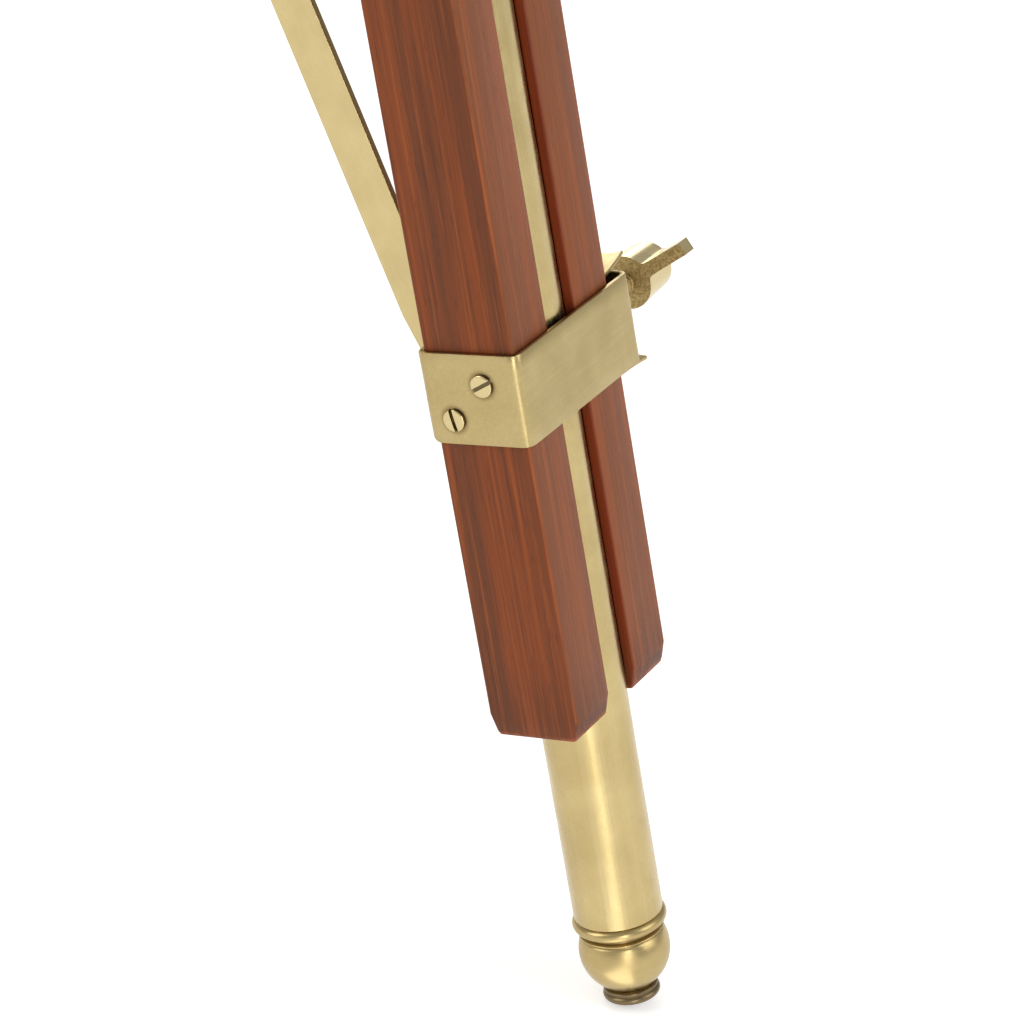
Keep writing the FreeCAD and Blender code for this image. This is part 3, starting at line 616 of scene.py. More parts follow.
def slotted_head(head_r, high, slot_half, slot_deep, shank_r, shank_long, rim=0.35, crown=0.12):
    """Screw drawn on Z, its seat at 0: shank below, filed head above with a cut slot."""
    profile = [(0, -shank_long), (shank_r, -shank_long), (shank_r, 0)]
    profile += [(head_r - 0.15, 0), (head_r, 0.15)]
    profile += arc(head_r - rim, high - crown - rim, rim, 0, 80, 4)
    profile += [(head_r * 0.55, high - crown * 0.25), (0, high)]
    shape = turned(profile, 40)
    cutter = bmesh.new()
    bmesh.ops.create_cube(cutter, size=1.0)
    slot_size = [side * MM for side in (3 * head_r, 2 * slot_half, 2 * slot_deep)]
    bmesh.ops.scale(cutter, vec=slot_size, verts=cutter.verts)
    bmesh.ops.translate(cutter, vec=(0, 0, high * MM), verts=cutter.verts)
    body_object = bpy.data.objects.new("head", shape_mesh(shape, "head"))
    cutter_object = bpy.data.objects.new("cutter", shape_mesh(cutter, "cutter"))
    for item in (body_object, cutter_object):
        bpy.context.scene.collection.objects.link(item)
    saw = body_object.modifiers.new("slot", "BOOLEAN")
    saw.operation = "DIFFERENCE"
    saw.object = cutter_object
    soften = body_object.modifiers.new("worn_slot", "BEVEL")
    soften.width = 0.07 * MM
    soften.segments = 2
    soften.limit_method = "ANGLE"
    soften.angle_limit = math.radians(50)
    bpy.context.view_layer.update()
    finished = body_object.evaluated_get(bpy.context.evaluated_depsgraph_get())
    made = bpy.data.meshes.new_from_object(finished)
    result = bmesh.new()
    result.from_mesh(made)
    for item in (body_object, cutter_object):
        bpy.data.objects.remove(item)
    return result


strap_screw = slotted_head(HEAD_R, HEAD_HIGH, SLOT_HALF, SLOT_DEEP, SHANK_R, SHANK_LONG)
ON_RAIL_1 = Matrix(((1, 0, 0, 0), (0, 0, -1, BAND_START * MM), (0, 1, 0, 0), (0, 0, 0, 1)))
for leg in LEGS:
    bright, tree, shader, at, colour = brass_finish(f"screw_brass_leg_{leg}", leg_place(leg),
                                                    (1500, 1500, 500), 0.20, 2.5, 0.45)
    colour = mix_colour(tree, 0.45, colour, BRASS_PALE)
    along = add_node(tree, "ShaderNodeSeparateXYZ", {"Vector": at}, output="Y")
    head_face = BAND_START - HEAD_HIGH
    # Painted dark towards the strap, in the slot and round the lower head, partly dirt and partly painted
    # shade.
    deep = ease(tree, along, (head_face + 0.30) * MM, (head_face + 0.62) * MM, 0.0, 0.85)
    deep = calc(tree, "MULTIPLY", deep, ease(tree, along, (BAND_START + 3.0) * MM, (BAND_START + 2.0) * MM))
    set_colour(tree, shader, mix_colour(tree, deep, colour, paint(60, 46, 28)))
    places = [((x, z, 0), (0, 0, turn), (1, 1, 1)) for (x, z), turn in zip(SCREW_PLACES, SCREW_TURNS)]
    dress(f"leg_{leg}_strap_screws_slotted", set_on_points(strap_screw, places, bright), f"leg_{leg}",
          [f"leg_{leg}_strap_screws"], leg_place(leg) @ ON_RAIL_1)

# ---- Shoe --------------------------------------------------------------------------------
# A pressed sheet channel stands between the wing screw's tip and rail 2, so that the tip
# doesn't mark the wood. Its flanges flare over the strap's edges and one corner is drawn up.
SHOE_BACK, SHOE_END = 25.75, 40.3
SHOE_HALF = 13.4
SHOE_FRONT = 11.2
SHOE_SHEET = 1.1
LOWER_PROUD = 2.4
DRAWN_LONG, UPPER_DRAW, LOWER_DRAW = 5.0, 1.1, 0.5
FLANGES = ((0.4, 0.165, 1, UPPER_DRAW), (1.3, 0.037, -1, LOWER_DRAW))


def shoe_shape():
    """The channel, as outlines set along it. Each flange is (proud of the band, slope, way up, draw)."""
    half = BAND_TALL / 2
    sections = []
    for step in range(15):
        x = -SHOE_HALF + (SHOE_FRONT + SHOE_HALF) * step / 14
        draw = max(0.0, (x - SHOE_FRONT + DRAWN_LONG) / DRAWN_LONG) ** 2
        outer, inner = [], []
        for proud, slope, up, drawn_up in FLANGES:
            side_out, side_in = [], []
            for s in range(8):
                share = s / 7
                y = SHOE_BACK + (SHOE_END - SHOE_BACK) * share
                top = half + proud + slope * (y - SHOE_BACK) + drawn_up * draw * share ** 3
                reach = x + (LOWER_PROUD * draw if up < 0 else 0.0)
                side_out.append((reach, y, BAND_MID + up * top))
                side_in.append((reach, max(y, SHOE_BACK + SHEET), BAND_MID + up * (top - SHOE_SHEET)))
            outer.append(side_out)
            inner.append(side_in)
        sections.append(outer[0][::-1] + outer[1] + inner[1][::-1] + inner[0])
    return skin(sections)


shoe = shoe_shape()
for leg in LEGS:
    make_piece(f"leg_{leg}_shoe_pressed", shoe, f"leg_{leg}", bpy.data.materials[f"sheet_brass_leg_{leg}"],
               [f"leg_{leg}_shoe"], leg_place(leg), edge=0.3)

# ---- Wing screw --------------------------------------------------------------------------
# Cast in sand and polished: the flat side towards the band was left rough and dark, the boss
# and the tops of the two tapered arms are bright. The long shank is threaded.
WING_NEAR, BOSS_LONG = 57.6, 14.6
BOSS_R, BOSS_END_R = 7.8, 7.0
ARM, ARM_HALF, TIP_DEPTH = 22.0, 1.9, 5.0
WING_TURN = 28.5
WING_SCREW_R = 3.0
THREAD_PITCH, THREAD_DEEP = 1.27, 0.42
ARM_ROOT, BLEND = 6.4, 7.0

thread, asked = new_tree("screw_thread", (("Radius", "Float"), ("Length", "Float"), ("Turns", "Float"),
                                          ("Depth", "Float"), ("Finish", "Material")))
helix = add_node(thread, "GeometryNodeCurveSpiral",
                 {"Resolution": 28, "Rotations": asked["Turns"],
                  "Start Radius": calc(thread, "SUBTRACT", asked["Radius"], asked["Depth"]),
                  "End Radius": calc(thread, "SUBTRACT", asked["Radius"], asked["Depth"]),
                  "Height": asked["Length"]})
ridge = add_node(thread, "GeometryNodeCurvePrimitiveCircle", {"Resolution": 6, "Radius": asked["Depth"]})
ridges = add_node(thread, "GeometryNodeCurveToMesh",
                  {"Curve": helix, "Profile Curve": ridge, "Fill Caps": True})
core = add_node(thread, "GeometryNodeMeshCylinder",
                {"Vertices": 40, "Radius": calc(thread, "SUBTRACT", asked["Radius"], asked["Depth"]),
                 "Depth": calc(thread, "ADD", asked["Length"], 0.0008)})
half_way = add_node(thread, "ShaderNodeCombineXYZ", {"Z": calc(thread, "MULTIPLY", asked["Length"], 0.5)})
core = add_node(thread, "GeometryNodeTransform", {"Geometry": core, "Translation": half_way})
joined = thread.nodes.new("GeometryNodeJoinGeometry")
thread.links.new(ridges, joined.inputs[0])
thread.links.new(core, joined.inputs[0])
end_tree(thread, joined.outputs[0], asked["Finish"])


def thread_shape(radius, length, pitch, deep, finish):
    """Threaded rod on Z from 0 to its length, as a shape to join to its head."""
    made = bake(thread, bpy.data.meshes.new("thread"),
                {"Radius": radius * MM, "Length": length * MM, "Turns": length / pitch,
                 "Depth": deep * MM, "Finish": finish})
    shape = bmesh.new()
    shape.from_mesh(made)
    return shape


def add_shape(shape, other, place=None):
    """Join another shape to a shape, moved to its place."""
    if place is not None:
        bmesh.ops.transform(other, matrix=place, verts=other.verts)
    shape.from_mesh(shape_mesh(other, "joined"))


def wing_outline(depth, boss_r, arm):
    """Boss and arms across the screw, as far out as either reaches, softly blended."""
    corner = math.atan2(ARM_HALF, arm)
    at_root = math.atan2(ARM_HALF, ARM_ROOT)
    angles = [0.0, corner * 0.5, corner]
    for s in range(1, 10):
        if arm > ARM_ROOT + 1:
            angles.append(math.atan2(ARM_HALF, arm + (ARM_ROOT - arm) * s / 9))
        else:
            angles.append(corner + (at_root - corner) * s / 9)
    last = angles[-1]
    angles += [last + (math.pi / 2 - last) * s / 9 for s in range(1, 10)]
    quarter = []
    for a in angles:
        reach = arm / math.cos(a) if a <= corner + 1e-9 else ARM_HALF / math.sin(a)
        r = (boss_r ** BLEND + reach ** BLEND) ** (1 / BLEND)
        if a <= corner + 1e-9 and arm > boss_r * 1.3:
            r = reach
        quarter.append((r * math.cos(a), r * math.sin(a)))
    right = quarter + [(-x, z) for x, z in quarter[-2::-1]]
    ring = right + [(x, -z) for x, z in right[-2:0:-1]]
    return [(x, depth, z) for x, z in ring]


def wing_shape():
    """Boss and arms from the flat near face to the domed end, the arms sloping in past their tips."""
    slope_end = BOSS_LONG - 1.5
    rings = []
    for depth in (0.0, 0.5, 2.5, TIP_DEPTH, 7.0, 9.0, 11.0, slope_end, BOSS_LONG - 0.6):
        share = depth / BOSS_LONG
        arm = ARM
        if depth > TIP_DEPTH:
            arm = ARM + (BOSS_END_R - 1 - ARM) * (depth - TIP_DEPTH) / (slope_end - TIP_DEPTH)
        rings.append(wing_outline(depth, BOSS_R + (BOSS_END_R - BOSS_R) * share, max(arm, 4.0)))
    for drop, shrink in ((0.25, 0.93), (0.0, 0.80), (-0.35, 0.5), (-0.5, 0.2)):
        rings.append([(x * shrink, BOSS_LONG - drop, z * shrink) for x, _, z in rings[8]])
    shape = bmesh.new()
    rows = [[shape.verts.new(Vector(p) * MM) for p in ring] for ring in rings]
    count = len(rows[0])
    for low, high in zip(rows, rows[1:]):
        for i in range(count):
            j = (i + 1) % count
            shape.faces.new((low[i], low[j], high[j], high[i]))
    for row, depth in ((rows[0], 0.0), (rows[-1], BOSS_LONG + 0.55)):
        middle = shape.verts.new((0, depth * MM, 0))
        for i in range(count):
            shape.faces.new((row[i], row[(i + 1) % count], middle))
    return shape


ALONG_Y = Matrix.Rotation(math.radians(-90), 4, "X")
for leg in LEGS:
    cast, tree, shader, at, colour = brass_finish(f"cast_brass_leg_{leg}", leg_place(leg), (600, 600, 600),
                                                  0.24)
    depth = add_node(tree, "ShaderNodeSeparateXYZ", {"Vector": at}, output="Y")
    rough = ease(tree, depth, (WING_NEAR + 0.25) * MM, (WING_NEAR + 0.10) * MM)
    grit = cloud(tree, at, 1500.0, 4.0, 0.7)
    dull = mix_colour(tree, ease(tree, grit, 0.3, 0.7), paint(150, 126, 74), paint(206, 184, 132))
    colour = mix_colour(tree, 0.5, colour, BRASS_PALE)
    set_colour(tree, shader, mix_colour(tree, rough, colour, dull))
    gloss = shader.inputs["Roughness"].links[0].from_socket
    gloss = calc(tree, "ADD", gloss, calc(tree, "MULTIPLY", rough, 0.22))
    tree.links.new(gloss, shader.inputs["Roughness"])
    bump(tree, shader, calc(tree, "MULTIPLY", grit, rough), 0.00035, 0.9)
    shank_start = SHOE_BACK + SHEET + 0.3
    screw = wing_shape()
    bmesh.ops.transform(screw, matrix=Matrix.Translation((0, WING_NEAR * MM, 0)), verts=screw.verts)
    add_shape(screw, thread_shape(WING_SCREW_R, WING_NEAR - shank_start, THREAD_PITCH, THREAD_DEEP, cast),
              Matrix.Translation((0, shank_start * MM, 0)) @ ALONG_Y)
    turn = Matrix.Translation((0, 0, BAND_MID * MM)) @ Matrix.Rotation(math.radians(-WING_TURN), 4, "Y")
    make_piece(f"leg_{leg}_wing_screw_cast", screw, f"leg_{leg}_wing_screw", cast,
               [f"leg_{leg}_wing_screw"], leg_place(leg) @ turn, edge=0.35, parts=3)

# ---- Tube and plug -----------------------------------------------------------------------
# Drawn one inch brass tube with a 1.5 mm wall, brushed lengthwise, closed by a turned plug at
# its upper end. Sliding in the groove has drawn fine long lines on it.
TUBE_R, TUBE_BORE = 12.7, 11.2
TUBE_LOW, TUBE_HIGH = -1017.4, -400.0
TURNED_SIDES = 112
tube = turned([(TUBE_BORE, TUBE_LOW)] + arc(TUBE_R - 0.3, TUBE_LOW + 0.3, 0.3, -90, 0, 3)
              + [(TUBE_R, TUBE_LOW + 60), (TUBE_R, TUBE_LOW + 200), (TUBE_R, TUBE_LOW + 400)]
              + arc(TUBE_R - 0.3, TUBE_HIGH - 0.3, 0.3, 0, 90, 3) + [(TUBE_BORE, TUBE_HIGH)],
              TURNED_SIDES, closed=True)
plug = turned([(0, TUBE_HIGH - 20), (TUBE_BORE, TUBE_HIGH - 20), (TUBE_BORE, TUBE_HIGH)]
              + arc(TUBE_R - 0.4, TUBE_HIGH + 0.4, 0.4, -90, 0, 3)
              + arc(TUBE_R - 0.9, TUBE_HIGH + 2.1, 0.9, 0, 90, 4)
              + [(5.0, TUBE_HIGH + 3.0), (3.0, TUBE_HIGH + 2.2), (0, TUBE_HIGH + 2.0)])
for leg in LEGS:
    drawn, tree, shader, at, colour = brass_finish(f"tube_brass_leg_{leg}", leg_place(leg), (900, 900, 7),
                                                   0.27, 1.1, 0.07)
    set_colour(tree, shader, colour)
    make_piece(f"leg_{leg}_tube_drawn", tube, f"leg_{leg}_tube", drawn, [f"leg_{leg}_tube"],
               leg_place(leg))
    make_piece(f"leg_{leg}_tube_plug_turned", plug, f"leg_{leg}_tube", drawn,
               [f"leg_{leg}_tube_plug"], leg_place(leg))

# ---- Foot --------------------------------------------------------------------------------
# Turned from solid brass and pressed into the tube: a bead ring, a groove, a fine shoulder line,
# a ball, and a small base with two beads. Old polish has stayed dark in its grooves, and its
# base is dull.
foot_outline = [(0, 18), (TUBE_BORE, 18), (TUBE_BORE, 0.0), (12.2, 0.0)]
foot_outline += arc(11.6, -1.95, 1.9, 75, -75, 12)
foot_outline += [(11.7, -3.95), (11.1, -4.35), (11.1, -4.75), (11.6, -5.05)]
foot_outline += arc(11.85, -5.45, 0.33, 80, -80, 5) + [(11.72, -6.02), (11.80, -6.32)]
foot_outline += arc(0, -11.6, 13.0, 23.5, -58.5, 34)
foot_outline += [(6.7, -23.0), (7.3, -23.2)]
foot_outline += arc(7.45, -23.6, 0.4, 80, -20, 4) + [(7.75, -24.1), (7.62, -24.45)]
foot_outline += arc(7.0, -25.65, 1.2, 60, -85, 10) + [(6.6, -26.8), (5.0, -26.8), (4.4, -26.3), (0, -26.2)]
foot = turned([(r, z + TUBE_LOW) for r, z in foot_outline], TURNED_SIDES)
DARK_GROOVES = ((-4.5, 0.8), (-6.05, 0.25), (0.1, 0.3), (-23.2, 1.0), (-24.35, 0.35))
for leg in LEGS:
    lathe, tree, shader, at, colour = brass_finish(f"turned_brass_leg_{leg}", leg_place(leg), (60, 60, 2600),
                                                   0.31, 1.0, 0.3, 0.12)
    height = add_node(tree, "ShaderNodeSeparateXYZ", {"Vector": at}, output="Z")
    dark = None
    for middle, reach in DARK_GROOVES:
        away = calc(tree, "ABSOLUTE", calc(tree, "SUBTRACT", height, (TUBE_LOW + middle) * MM))
        groove = ease(tree, away, reach * MM, 0.3 * reach * MM)
        dark = groove if dark is None else calc(tree, "MAXIMUM", dark, groove)
    base = ease(tree, height, (TUBE_LOW - 22.0) * MM, (TUBE_LOW - 23.2) * MM, 0.0, 0.42)
    dark = calc(tree, "MAXIMUM", calc(tree, "MULTIPLY", dark, 0.62), base)
    colour = mix_colour(tree, dark, colour, paint(112, 92, 58))
    colour = mix_colour(tree, 0.12, colour, paint(140, 112, 66))
    flange = ease(tree, height, (TUBE_LOW - 22.4) * MM, (TUBE_LOW - 23.4) * MM, 0.0, 0.85)
    colour = mix_colour(tree, flange, colour, paint(112, 97, 74))
    set_colour(tree, shader, colour)
    make_piece(f"leg_{leg}_foot_turned", foot, f"leg_{leg}_tube", lathe, [f"leg_{leg}_foot"],
               leg_place(leg), sharp=50.0)

# ---- Strut lug ---------------------------------------------------------------------------
# A small forked bracket, bent from sheet and brazed on the strap's inner side, that holds the
# strut's lower rivet between two thin cheeks.
PIVOT_IN = -25.8
LUG_HALF_WIDE, LUG_HALF_TALL = 7.5, 9.5
CHEEK_IN, CHEEK_OUT, CHEEK_R = 1.8, 3.0, 4.5
LUG_CORNERS = ((-1, -0.8), (-0.8, -1), (0.8, -1), (1, -0.8), (1, 0.8), (0.8, 1), (-0.8, 1), (-1, 0.8))
LUG_BACK = -17.2
lug = skin([[(x, LUG_HALF_WIDE * a, BAND_MID + LUG_HALF_TALL * b) for a, b in LUG_CORNERS]
            for x in (LUG_BACK, -BAND_OUT)])
for side in (-1, 1):
    cheek = [(-16.5, CHEEK_R + 2.5), (-19.5, CHEEK_R + 0.6)]
    cheek += [(PIVOT_IN + CHEEK_R * math.cos(math.radians(a)), CHEEK_R * math.sin(math.radians(a)))
              for a in range(90, 271, 15)]
    cheek += [(-19.5, -CHEEK_R - 0.6), (-16.5, -CHEEK_R - 2.5)]
    add_shape(lug, skin([[(x, side * y, BAND_MID + z) for x, z in cheek] for y in (CHEEK_IN, CHEEK_OUT)]))
for leg in LEGS:
    sheet = bpy.data.materials[f"sheet_brass_leg_{leg}"]
    make_piece(f"leg_{leg}_strut_lug_forked", lug, f"leg_{leg}", sheet,
               [f"leg_{leg}_strut_lug"], leg_place(leg), edge=0.3)

# ---- Strut -------------------------------------------------------------------------------
# A flat brass strip joins the clamp band's lug to the hub, riveted at both. Its ends are
# round and the lower one is narrower. Its cut edges are darker than its faces.
STRUT_LONG, STRUT_HALF, STRUT_THICK = 427.906, 6.15, 2.2
STRUT_LEAN = math.radians(14.85)
STRUT_END_R, STRUT_TAPER = 4.5, 14.0
RIVET_R, RIVET_HEAD_R, RIVET_HEAD = 2.2, 4.2, 1.4
STRUT_SIDE = 4.8
LOWER_RIVET, UPPER_RIVET = (0.72, 0.72, 0.63), (1, 1, 1.2)
strip_outline = [(STRUT_HALF * math.cos(math.radians(a)), STRUT_LONG + STRUT_HALF * math.sin(math.radians(a)))
                 for a in range(0, 181, 9)]
strip_outline += [(-STRUT_HALF, STRUT_TAPER)]
strip_outline += [(STRUT_END_R * math.cos(math.radians(a)), STRUT_END_R * math.sin(math.radians(a)))
                  for a in range(180, 361, 9)]
strip_outline += [(STRUT_HALF, STRUT_TAPER)]
strip = skin([[(x, y, z) for x, z in strip_outline] for y in (-STRUT_THICK / 2, STRUT_THICK / 2)])
rivet_half = [(0, 0), (RIVET_R, 0), (RIVET_R, STRUT_SIDE), (RIVET_HEAD_R - 0.1, STRUT_SIDE)]
rivet_half += arc(RIVET_HEAD_R - 0.5, STRUT_SIDE + 0.5, 0.5, 0, 60, 4)
rivet_half += [(2.2, STRUT_SIDE + RIVET_HEAD - 0.1), (0, STRUT_SIDE + RIVET_HEAD)]
rivet = turned([(r, -z) for r, z in rivet_half[:0:-1]] + rivet_half[1:], 36)
for leg in LEGS:
    on_leg = leg_place(leg) @ Matrix.Translation((PIVOT_IN * MM, 0, BAND_MID * MM))
    on_leg = on_leg @ Matrix.Rotation(-STRUT_LEAN, 4, "Y")
    bar, tree, shader, at, colour = brass_finish(f"strut_brass_leg_{leg}", on_leg, (800, 800, 9),
                                                 0.30, 0.9, 0.07)
    side = calc(tree, "ABSOLUTE", add_node(tree, "ShaderNodeSeparateXYZ", {"Vector": at}, output="X"))
    cut = ease(tree, side, (STRUT_HALF - 0.25) * MM, (STRUT_HALF - 0.02) * MM, 0.0, 0.75)
    colour = mix_colour(tree, 0.22, colour, BRASS_PALE)
    set_colour(tree, shader, mix_colour(tree, cut, colour, paint(120, 96, 56)))
    make_piece(f"leg_{leg}_strut_flat", strip, f"leg_{leg}_strut", bar, [f"leg_{leg}_strut"],
               on_leg, edge=0.35, parts=3)
    along_y = on_leg @ Matrix(((1, 0, 0, 0), (0, 0, -1, 0), (0, 1, 0, 0), (0, 0, 0, 1)))
    places = [((0, 0, 0), (0, 0, 0), LOWER_RIVET), ((0, STRUT_LONG, 0), (0, 0, 0), UPPER_RIVET)]
    rivets = set_on_points(rivet, places, bpy.data.materials[f"screw_brass_leg_{leg}"])
    dress(f"leg_{leg}_strut_rivets_set", rivets, f"leg_{leg}_strut",
          [f"leg_{leg}_strut_rivets"], along_y)

# ---- Top band and hinge bolts ------------------------------------------------------------
# A closed band holds the rails to their spacer, and a bolt with a washer and a round domed
# head carries the leg on the head casting. A round cap nut closes its other end.
TOP_BAND_LOW, TOP_BAND_TALL = -198.0, 26.0
TOP_BAND_SIDE = LEG_SIDE + 1.7
TOP_BAND_WOBBLE = 0.06


def top_band_path(inset):
    """The clamp band's path with its far side drawn in to rail 2."""
    wanted, drawn = TOP_BAND_SIDE - inset, BAND_END - inset
    return [(x, y * wanted / drawn if y > 0 else y) for x, y in band_path(BEND_R, inset)]


top_band = band_shape(TOP_BAND_LOW, TOP_BAND_TALL, top_band_path, TOP_BAND_WOBBLE)
bolt = turned([(0, -30), (4.0, -30), (4.0, 0)] + arc(8.6, 0.4, 0.4, -90, 0, 3) + arc(8.6, 1.1, 0.4, 0, 90, 3)
              + [(8.06, 1.5)] + arc(0, -2.5, 9.0, 26.4, 90, 10), 56)
nut = turned([(4.05, -1), (4.05, 0)] + arc(8.6, 0.4, 0.4, -90, 0, 3) + arc(8.6, 1.1, 0.4, 0, 90, 3)
             + [(7.0, 1.5)] + arc(6.7, 3.4, 0.3, 0, 60, 2) + arc(6.7, 4.6, 0.3, -60, 0, 2)
             + arc(0, 7.5, 7.0, 0, 90, 10), 56)
for leg in LEGS:
    sheet = bpy.data.materials[f"sheet_brass_leg_{leg}"]
    lathe = bpy.data.materials[f"turned_brass_leg_{leg}"]
    make_piece(f"leg_{leg}_top_band_bent", top_band, f"leg_{leg}", sheet,
               [f"leg_{leg}_top_band"], leg_place(leg))
    on_side = Matrix(((1, 0, 0, 0), (0, 0, -1, -LEG_SIDE * MM), (0, 1, 0, 0), (0, 0, 0, 1)))
    make_piece(f"leg_{leg}_hinge_bolt_domed", bolt, f"leg_{leg}", lathe,
               [f"leg_{leg}_hinge_bolt"], leg_place(leg) @ on_side)
    make_piece(f"leg_{leg}_hinge_nut_cap", nut, f"leg_{leg}", lathe, [f"leg_{leg}_hinge_nut"],
               leg_place(leg) @ Matrix.Translation((0, LEG_SIDE * MM, 0)) @ ALONG_Y)

# ---- Head board --------------------------------------------------------------------------
# A turned hardwood disc, 18 mm thick, of the same stained wood as the rails, its grain lying
# straight across. Its rim is rounded, and a shallow line was cut near it on both faces.
BOARD_R, BOARD_TOP, BOARD_LOW = 70.0, -2.0, -20.0
BOARD_HOLE = 5.6
RIM_R = 5.0
board_outline = [(BOARD_HOLE, BOARD_LOW), (57.0, BOARD_LOW), (57.5, BOARD_LOW + 0.7),
                 (58.2, BOARD_LOW + 0.7), (58.7, BOARD_LOW)]
board_outline += arc(BOARD_R - RIM_R, BOARD_LOW + RIM_R, RIM_R, -90, 0, 8)
board_outline += arc(BOARD_R - RIM_R, BOARD_TOP - RIM_R, RIM_R, 0, 90, 8)
board_outline += [(58.7, BOARD_TOP), (58.2, BOARD_TOP - 0.7), (57.5, BOARD_TOP - 0.7), (57.0, BOARD_TOP),
                  (BOARD_HOLE, BOARD_TOP)]
board = turned(board_outline, 144, closed=True)
head_wood = wood_finish("wood_head", Matrix.Rotation(math.radians(90), 4, "Y"), False, 5)
make_piece("head_board_turned", board, "head", head_wood, ["head_board"], sharp=45.0)

# ---- Head casting, its bolts and the column ----------------------------------------------
# The spider under the board is a brass sand casting with three hinge lugs; cheese head bolts
# hold it to the board, and the bright column hangs from its boss.
SPIDER_LOW, HEAD_BOLT_RING = -26.0, 33.0
COLUMN_R, COLUMN_LOW = 8.0, -525.8
cast_head, tree, shader, at, colour = brass_finish("cast_brass_head", None, (700, 700, 700), 0.34, 2.0, 0.3)
set_colour(tree, shader, mix_colour(tree, 0.15, colour, BRASS_BROWN))
head_bright, tree, shader, at, colour = brass_finish("screw_brass_head", None, (900, 900, 300),
                                                     0.22, 1.5, 0.3)
set_colour(tree, shader, mix_colour(tree, 0.3, colour, BRASS_PALE))
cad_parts["head_spider"].data.materials[0] = cast_head
head_bolt = slotted_head(4.5, 3.0, 0.5, 1.3, 2.5, 18.5, rim=0.5, crown=0.1)
places = []
for leg in LEGS:
    angle = math.radians(60 + 120 * (leg - 1))
    places.append(((HEAD_BOLT_RING * math.cos(angle), HEAD_BOLT_RING * math.sin(angle), SPIDER_LOW),
                   (180, 0, 37 * leg), (1, 1, 1)))
dress("head_bolts_slotted", set_on_points(head_bolt, places, head_bright), "head",
      ["head_bolts"])
column = turned([(0, COLUMN_LOW), (COLUMN_R, COLUMN_LOW)]
                + [(COLUMN_R, COLUMN_LOW + 83 * s) for s in range(1, 6)]
                + [(COLUMN_R, SPIDER_LOW), (0, SPIDER_LOW)], 80)
drawn_head, tree, shader, at, colour = brass_finish("tube_brass_head", None, (700, 700, 7), 0.29, 0.6, 0.05)
set_colour(tree, shader, colour)
make_piece("column_drawn", column, "head", drawn_head, ["column"])

# ---- Seat pad and camera screw -----------------------------------------------------------
# A 2 mm leather ring is glued on the board and stitched near its rim, so that a camera sits
# without scratching. The 3/8 inch screw with 16 threads an inch stands up through it.
PAD_R, PAD_HOLE = 48.0, 5.96
STITCH_RING, STITCHES, STITCH_SUNK = 44.0, 64, -0.36
STUD_R, STUD_TOP, STUD_BODY_R = 4.76, 11.0, 5.5
STUD_PITCH, STUD_THREAD_DEEP = 25.4 / 16, 0.5
hide, tree, shader, at = new_finish("pad_leather", None, roughness=0.55)
cells = add_node(tree, "ShaderNodeTexVoronoi", {"Vector": at, "Scale": 900.0}, output="Distance",
                 feature="DISTANCE_TO_EDGE")
crease = ease(tree, cells, 0.0, 0.14)
worn = cloud(tree, at, 45.0, 4.0, 0.6)
colour = mix_colour(tree, ease(tree, worn, 0.35, 0.70), paint(66, 38, 25), paint(104, 64, 42))
set_colour(tree, shader, mix_colour(tree, crease, paint(38, 22, 15), colour))
tree.links.new(ease(tree, worn, 0.3, 0.7, 0.48, 0.66), shader.inputs["Roughness"])
bump(tree, shader, calc(tree, "ADD", crease, calc(tree, "MULTIPLY", worn, 0.8)), 0.00018, 0.8)
pad_outline = arc(PAD_HOLE + 0.5, -1.5, 0.5, 270, 180, 3) + arc(PAD_HOLE + 0.7, -0.75, 0.7, 180, 90, 4)
pad_outline += [(STITCH_RING - 1.4, -0.02), (STITCH_RING - 0.6, -0.25), (STITCH_RING, -0.42),
                (STITCH_RING + 0.6, -0.25), (STITCH_RING + 1.4, -0.04)]
pad_outline += arc(PAD_R - 0.9, -0.95, 0.9, 90, 0, 5) + arc(PAD_R - 0.5, -1.5, 0.5, 0, -90, 3)
pad = turned(pad_outline, 128, closed=True)
make_piece("seat_pad_leather", pad, "head", hide, ["seat_pad"], sharp=60.0)
thread_linen, tree, shader, at = new_finish("stitch_linen", None, roughness=0.8)
twist = cloud(tree, stretch(tree, at, (2500, 2500, 2500)), 1.0, 2.0)
set_colour(tree, shader, mix_colour(tree, twist, paint(150, 122, 82), paint(206, 182, 138)))
bump(tree, shader, twist, 0.0001, 0.6)
STITCH_SECTIONS = ((-1.5, 0.12, -0.35), (-1.2, 0.3, -0.15), (-0.6, 0.33, 0.0),
                   (0.6, 0.33, 0.0), (1.2, 0.3, -0.15), (1.5, 0.12, -0.35))
EIGHTHS = [math.radians(a) for a in range(0, 360, 45)]
stitch = skin([[(x, r * math.cos(a), r * math.sin(a) + z) for a in EIGHTHS] for x, r, z in STITCH_SECTIONS])
places = []
for number in range(STITCHES):
    angle = 360.0 * number / STITCHES
    x, y = STITCH_RING * math.cos(math.radians(angle)), STITCH_RING * math.sin(math.radians(angle))
    places.append(((x, y, STITCH_SUNK), (0, 0, angle + 90), (1, 1, 1)))
dress("seat_pad_stitches", set_on_points(stitch, places, thread_linen), "head", ["seat_pad"])
camera_screw = thread_shape(STUD_R, STUD_TOP - 2.2, STUD_PITCH, STUD_THREAD_DEEP, head_bright)
bmesh.ops.translate(camera_screw, vec=(0, 0, 1.3 * MM), verts=camera_screw.verts)
add_shape(camera_screw, turned([(0, SPIDER_LOW), (STUD_BODY_R, SPIDER_LOW), (STUD_BODY_R, -0.2),
                                (STUD_BODY_R - 0.2, 0), (4.25, 0.4), (4.25, 1.5), (0, 1.5)], 48))
add_shape(camera_screw, turned([(0, 9.8), (4.3, 9.8), (4.3, 10.2), (3.6, STUD_TOP), (0, STUD_TOP)], 48))
make_piece("camera_stud_threaded", camera_screw, "head", head_bright, ["camera_stud"])

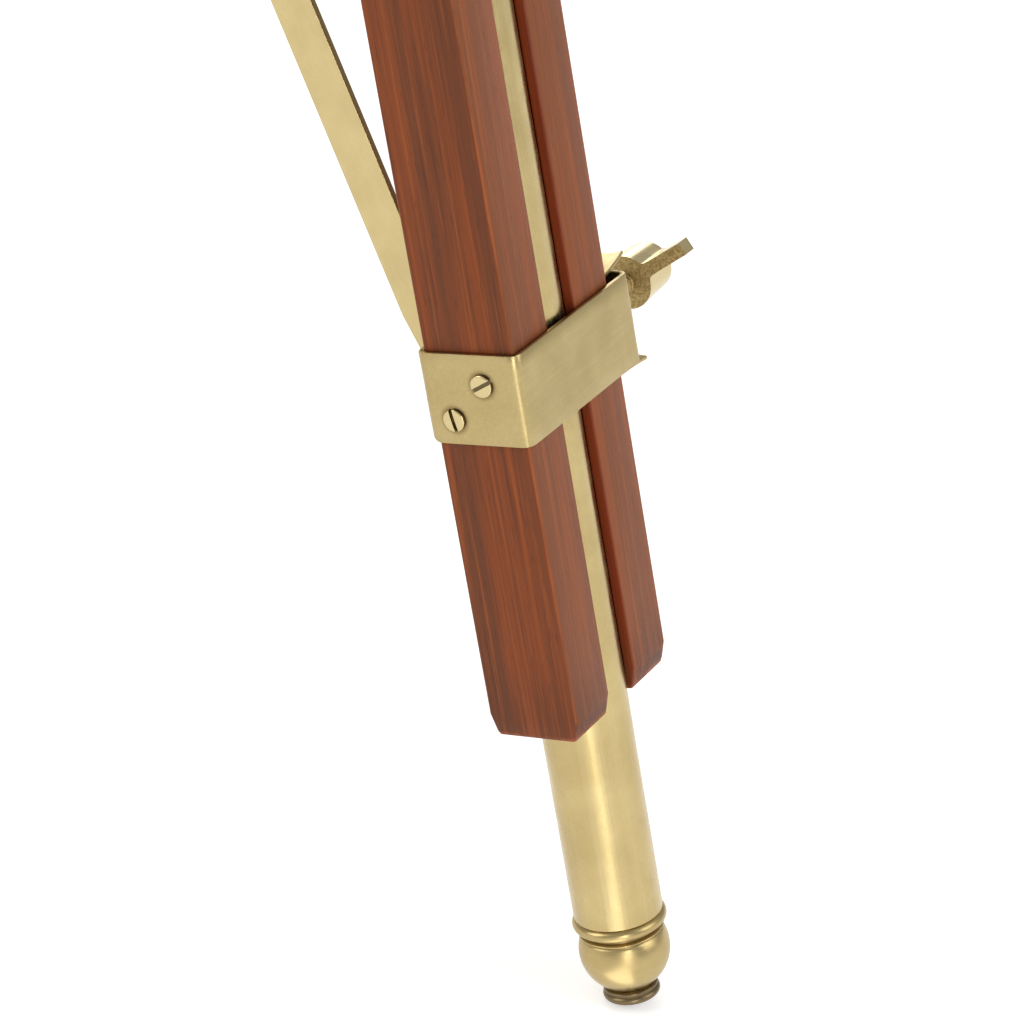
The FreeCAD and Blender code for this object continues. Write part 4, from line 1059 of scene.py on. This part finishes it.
# ---- Hub, its thumb screw and the finial -------------------------------------------------
# The cast hub slides on the column and carries the three struts in forked lugs. A knurled
# screw locks it. A turned finial closes the column's lower end and stops the hub.
HUB_Z = -498.487
FINIAL_TOP = HUB_Z - 13.3
KNURLS = 44
cast_hub, tree, shader, at, colour = brass_finish("cast_brass_hub", None, (700, 700, 700), 0.30, 1.6, 0.25)
set_colour(tree, shader, colour)
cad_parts["hub"].data.materials[0] = cast_hub
lathe_head, tree, shader, at, colour = brass_finish("turned_brass_head", None, (60, 60, 2600),
                                                    0.24, 1.0, 0.35)
set_colour(tree, shader, colour)
finial_outline = [(8.05, -14), (8.05, 0), (13.1, 0)]
finial_outline += arc(13.1, -0.4, 0.4, 90, 0, 3) + arc(13.1, -3.4, 0.4, 0, -70, 3)
finial_outline += [(12.2, -4.4)] + arc(13.4, -6.4, 2.4, 130, 215, 8)[1:] + [(11.0, -9.4), (11.05, -11.2)]
finial_outline += arc(11.6, -12.1, 0.7, 130, -40, 6) + [(11.7, -13.0)] + arc(7.6, -21.2, 8.4, 62, -62, 20)
finial_outline += [(9.2, -30.6), (6.8, -32.6), (5.4, -33.6), (5.0, -34.4)] + arc(3.9, -36.2, 1.3, 60, -60, 6)
finial_outline += [(3.6, -38.4), (2.0, -39.6), (0, -40.0)]
finial = turned([(0, FINIAL_TOP - 14)] + [(r, FINIAL_TOP + z) for r, z in finial_outline], 96)
make_piece("column_finial_turned", finial, "head", lathe_head, ["column_finial"], sharp=45.0)
knob = turned([(0, 8.3), (2.9, 8.3), (3.0, 8.6), (3.0, 13.4), (4.3, 13.4), (4.5, 13.7), (4.5, 17.7),
               (4.8, 18.0), (7.2, 18.0), (7.6, 18.5), (7.6, 24.4), (7.0, 24.9), (5.6, 25.0), (5.2, 24.6),
               (0, 24.6)], 88)
RIB_SECTIONS = ((18.4, 0.3, 7.5), (19.0, 0.42, 7.98), (23.9, 0.42, 7.98), (24.4, 0.3, 7.5))
rib = skin([[(7.4, -half, z), (out, -0.08, z), (out, 0.08, z), (7.4, half, z)]
            for z, half, out in RIB_SECTIONS])
places = [((0, 0, 0), (0, 0, 360.0 * n / KNURLS), (1, 1, 1)) for n in range(KNURLS)]
ribs = bmesh.new()
ribs.from_mesh(set_on_points(rib, places, lathe_head))
add_shape(knob, ribs)
OPPOSITE_LEG_1 = Matrix.Translation((0, 0, HUB_Z * MM)) @ Matrix.Rotation(math.radians(-90), 4, "Y")
make_piece("hub_thumb_screw_knurled", knob, "hub_thumb_screw", lathe_head,
           ["hub_thumb_screw"], OPPOSITE_LEG_1)
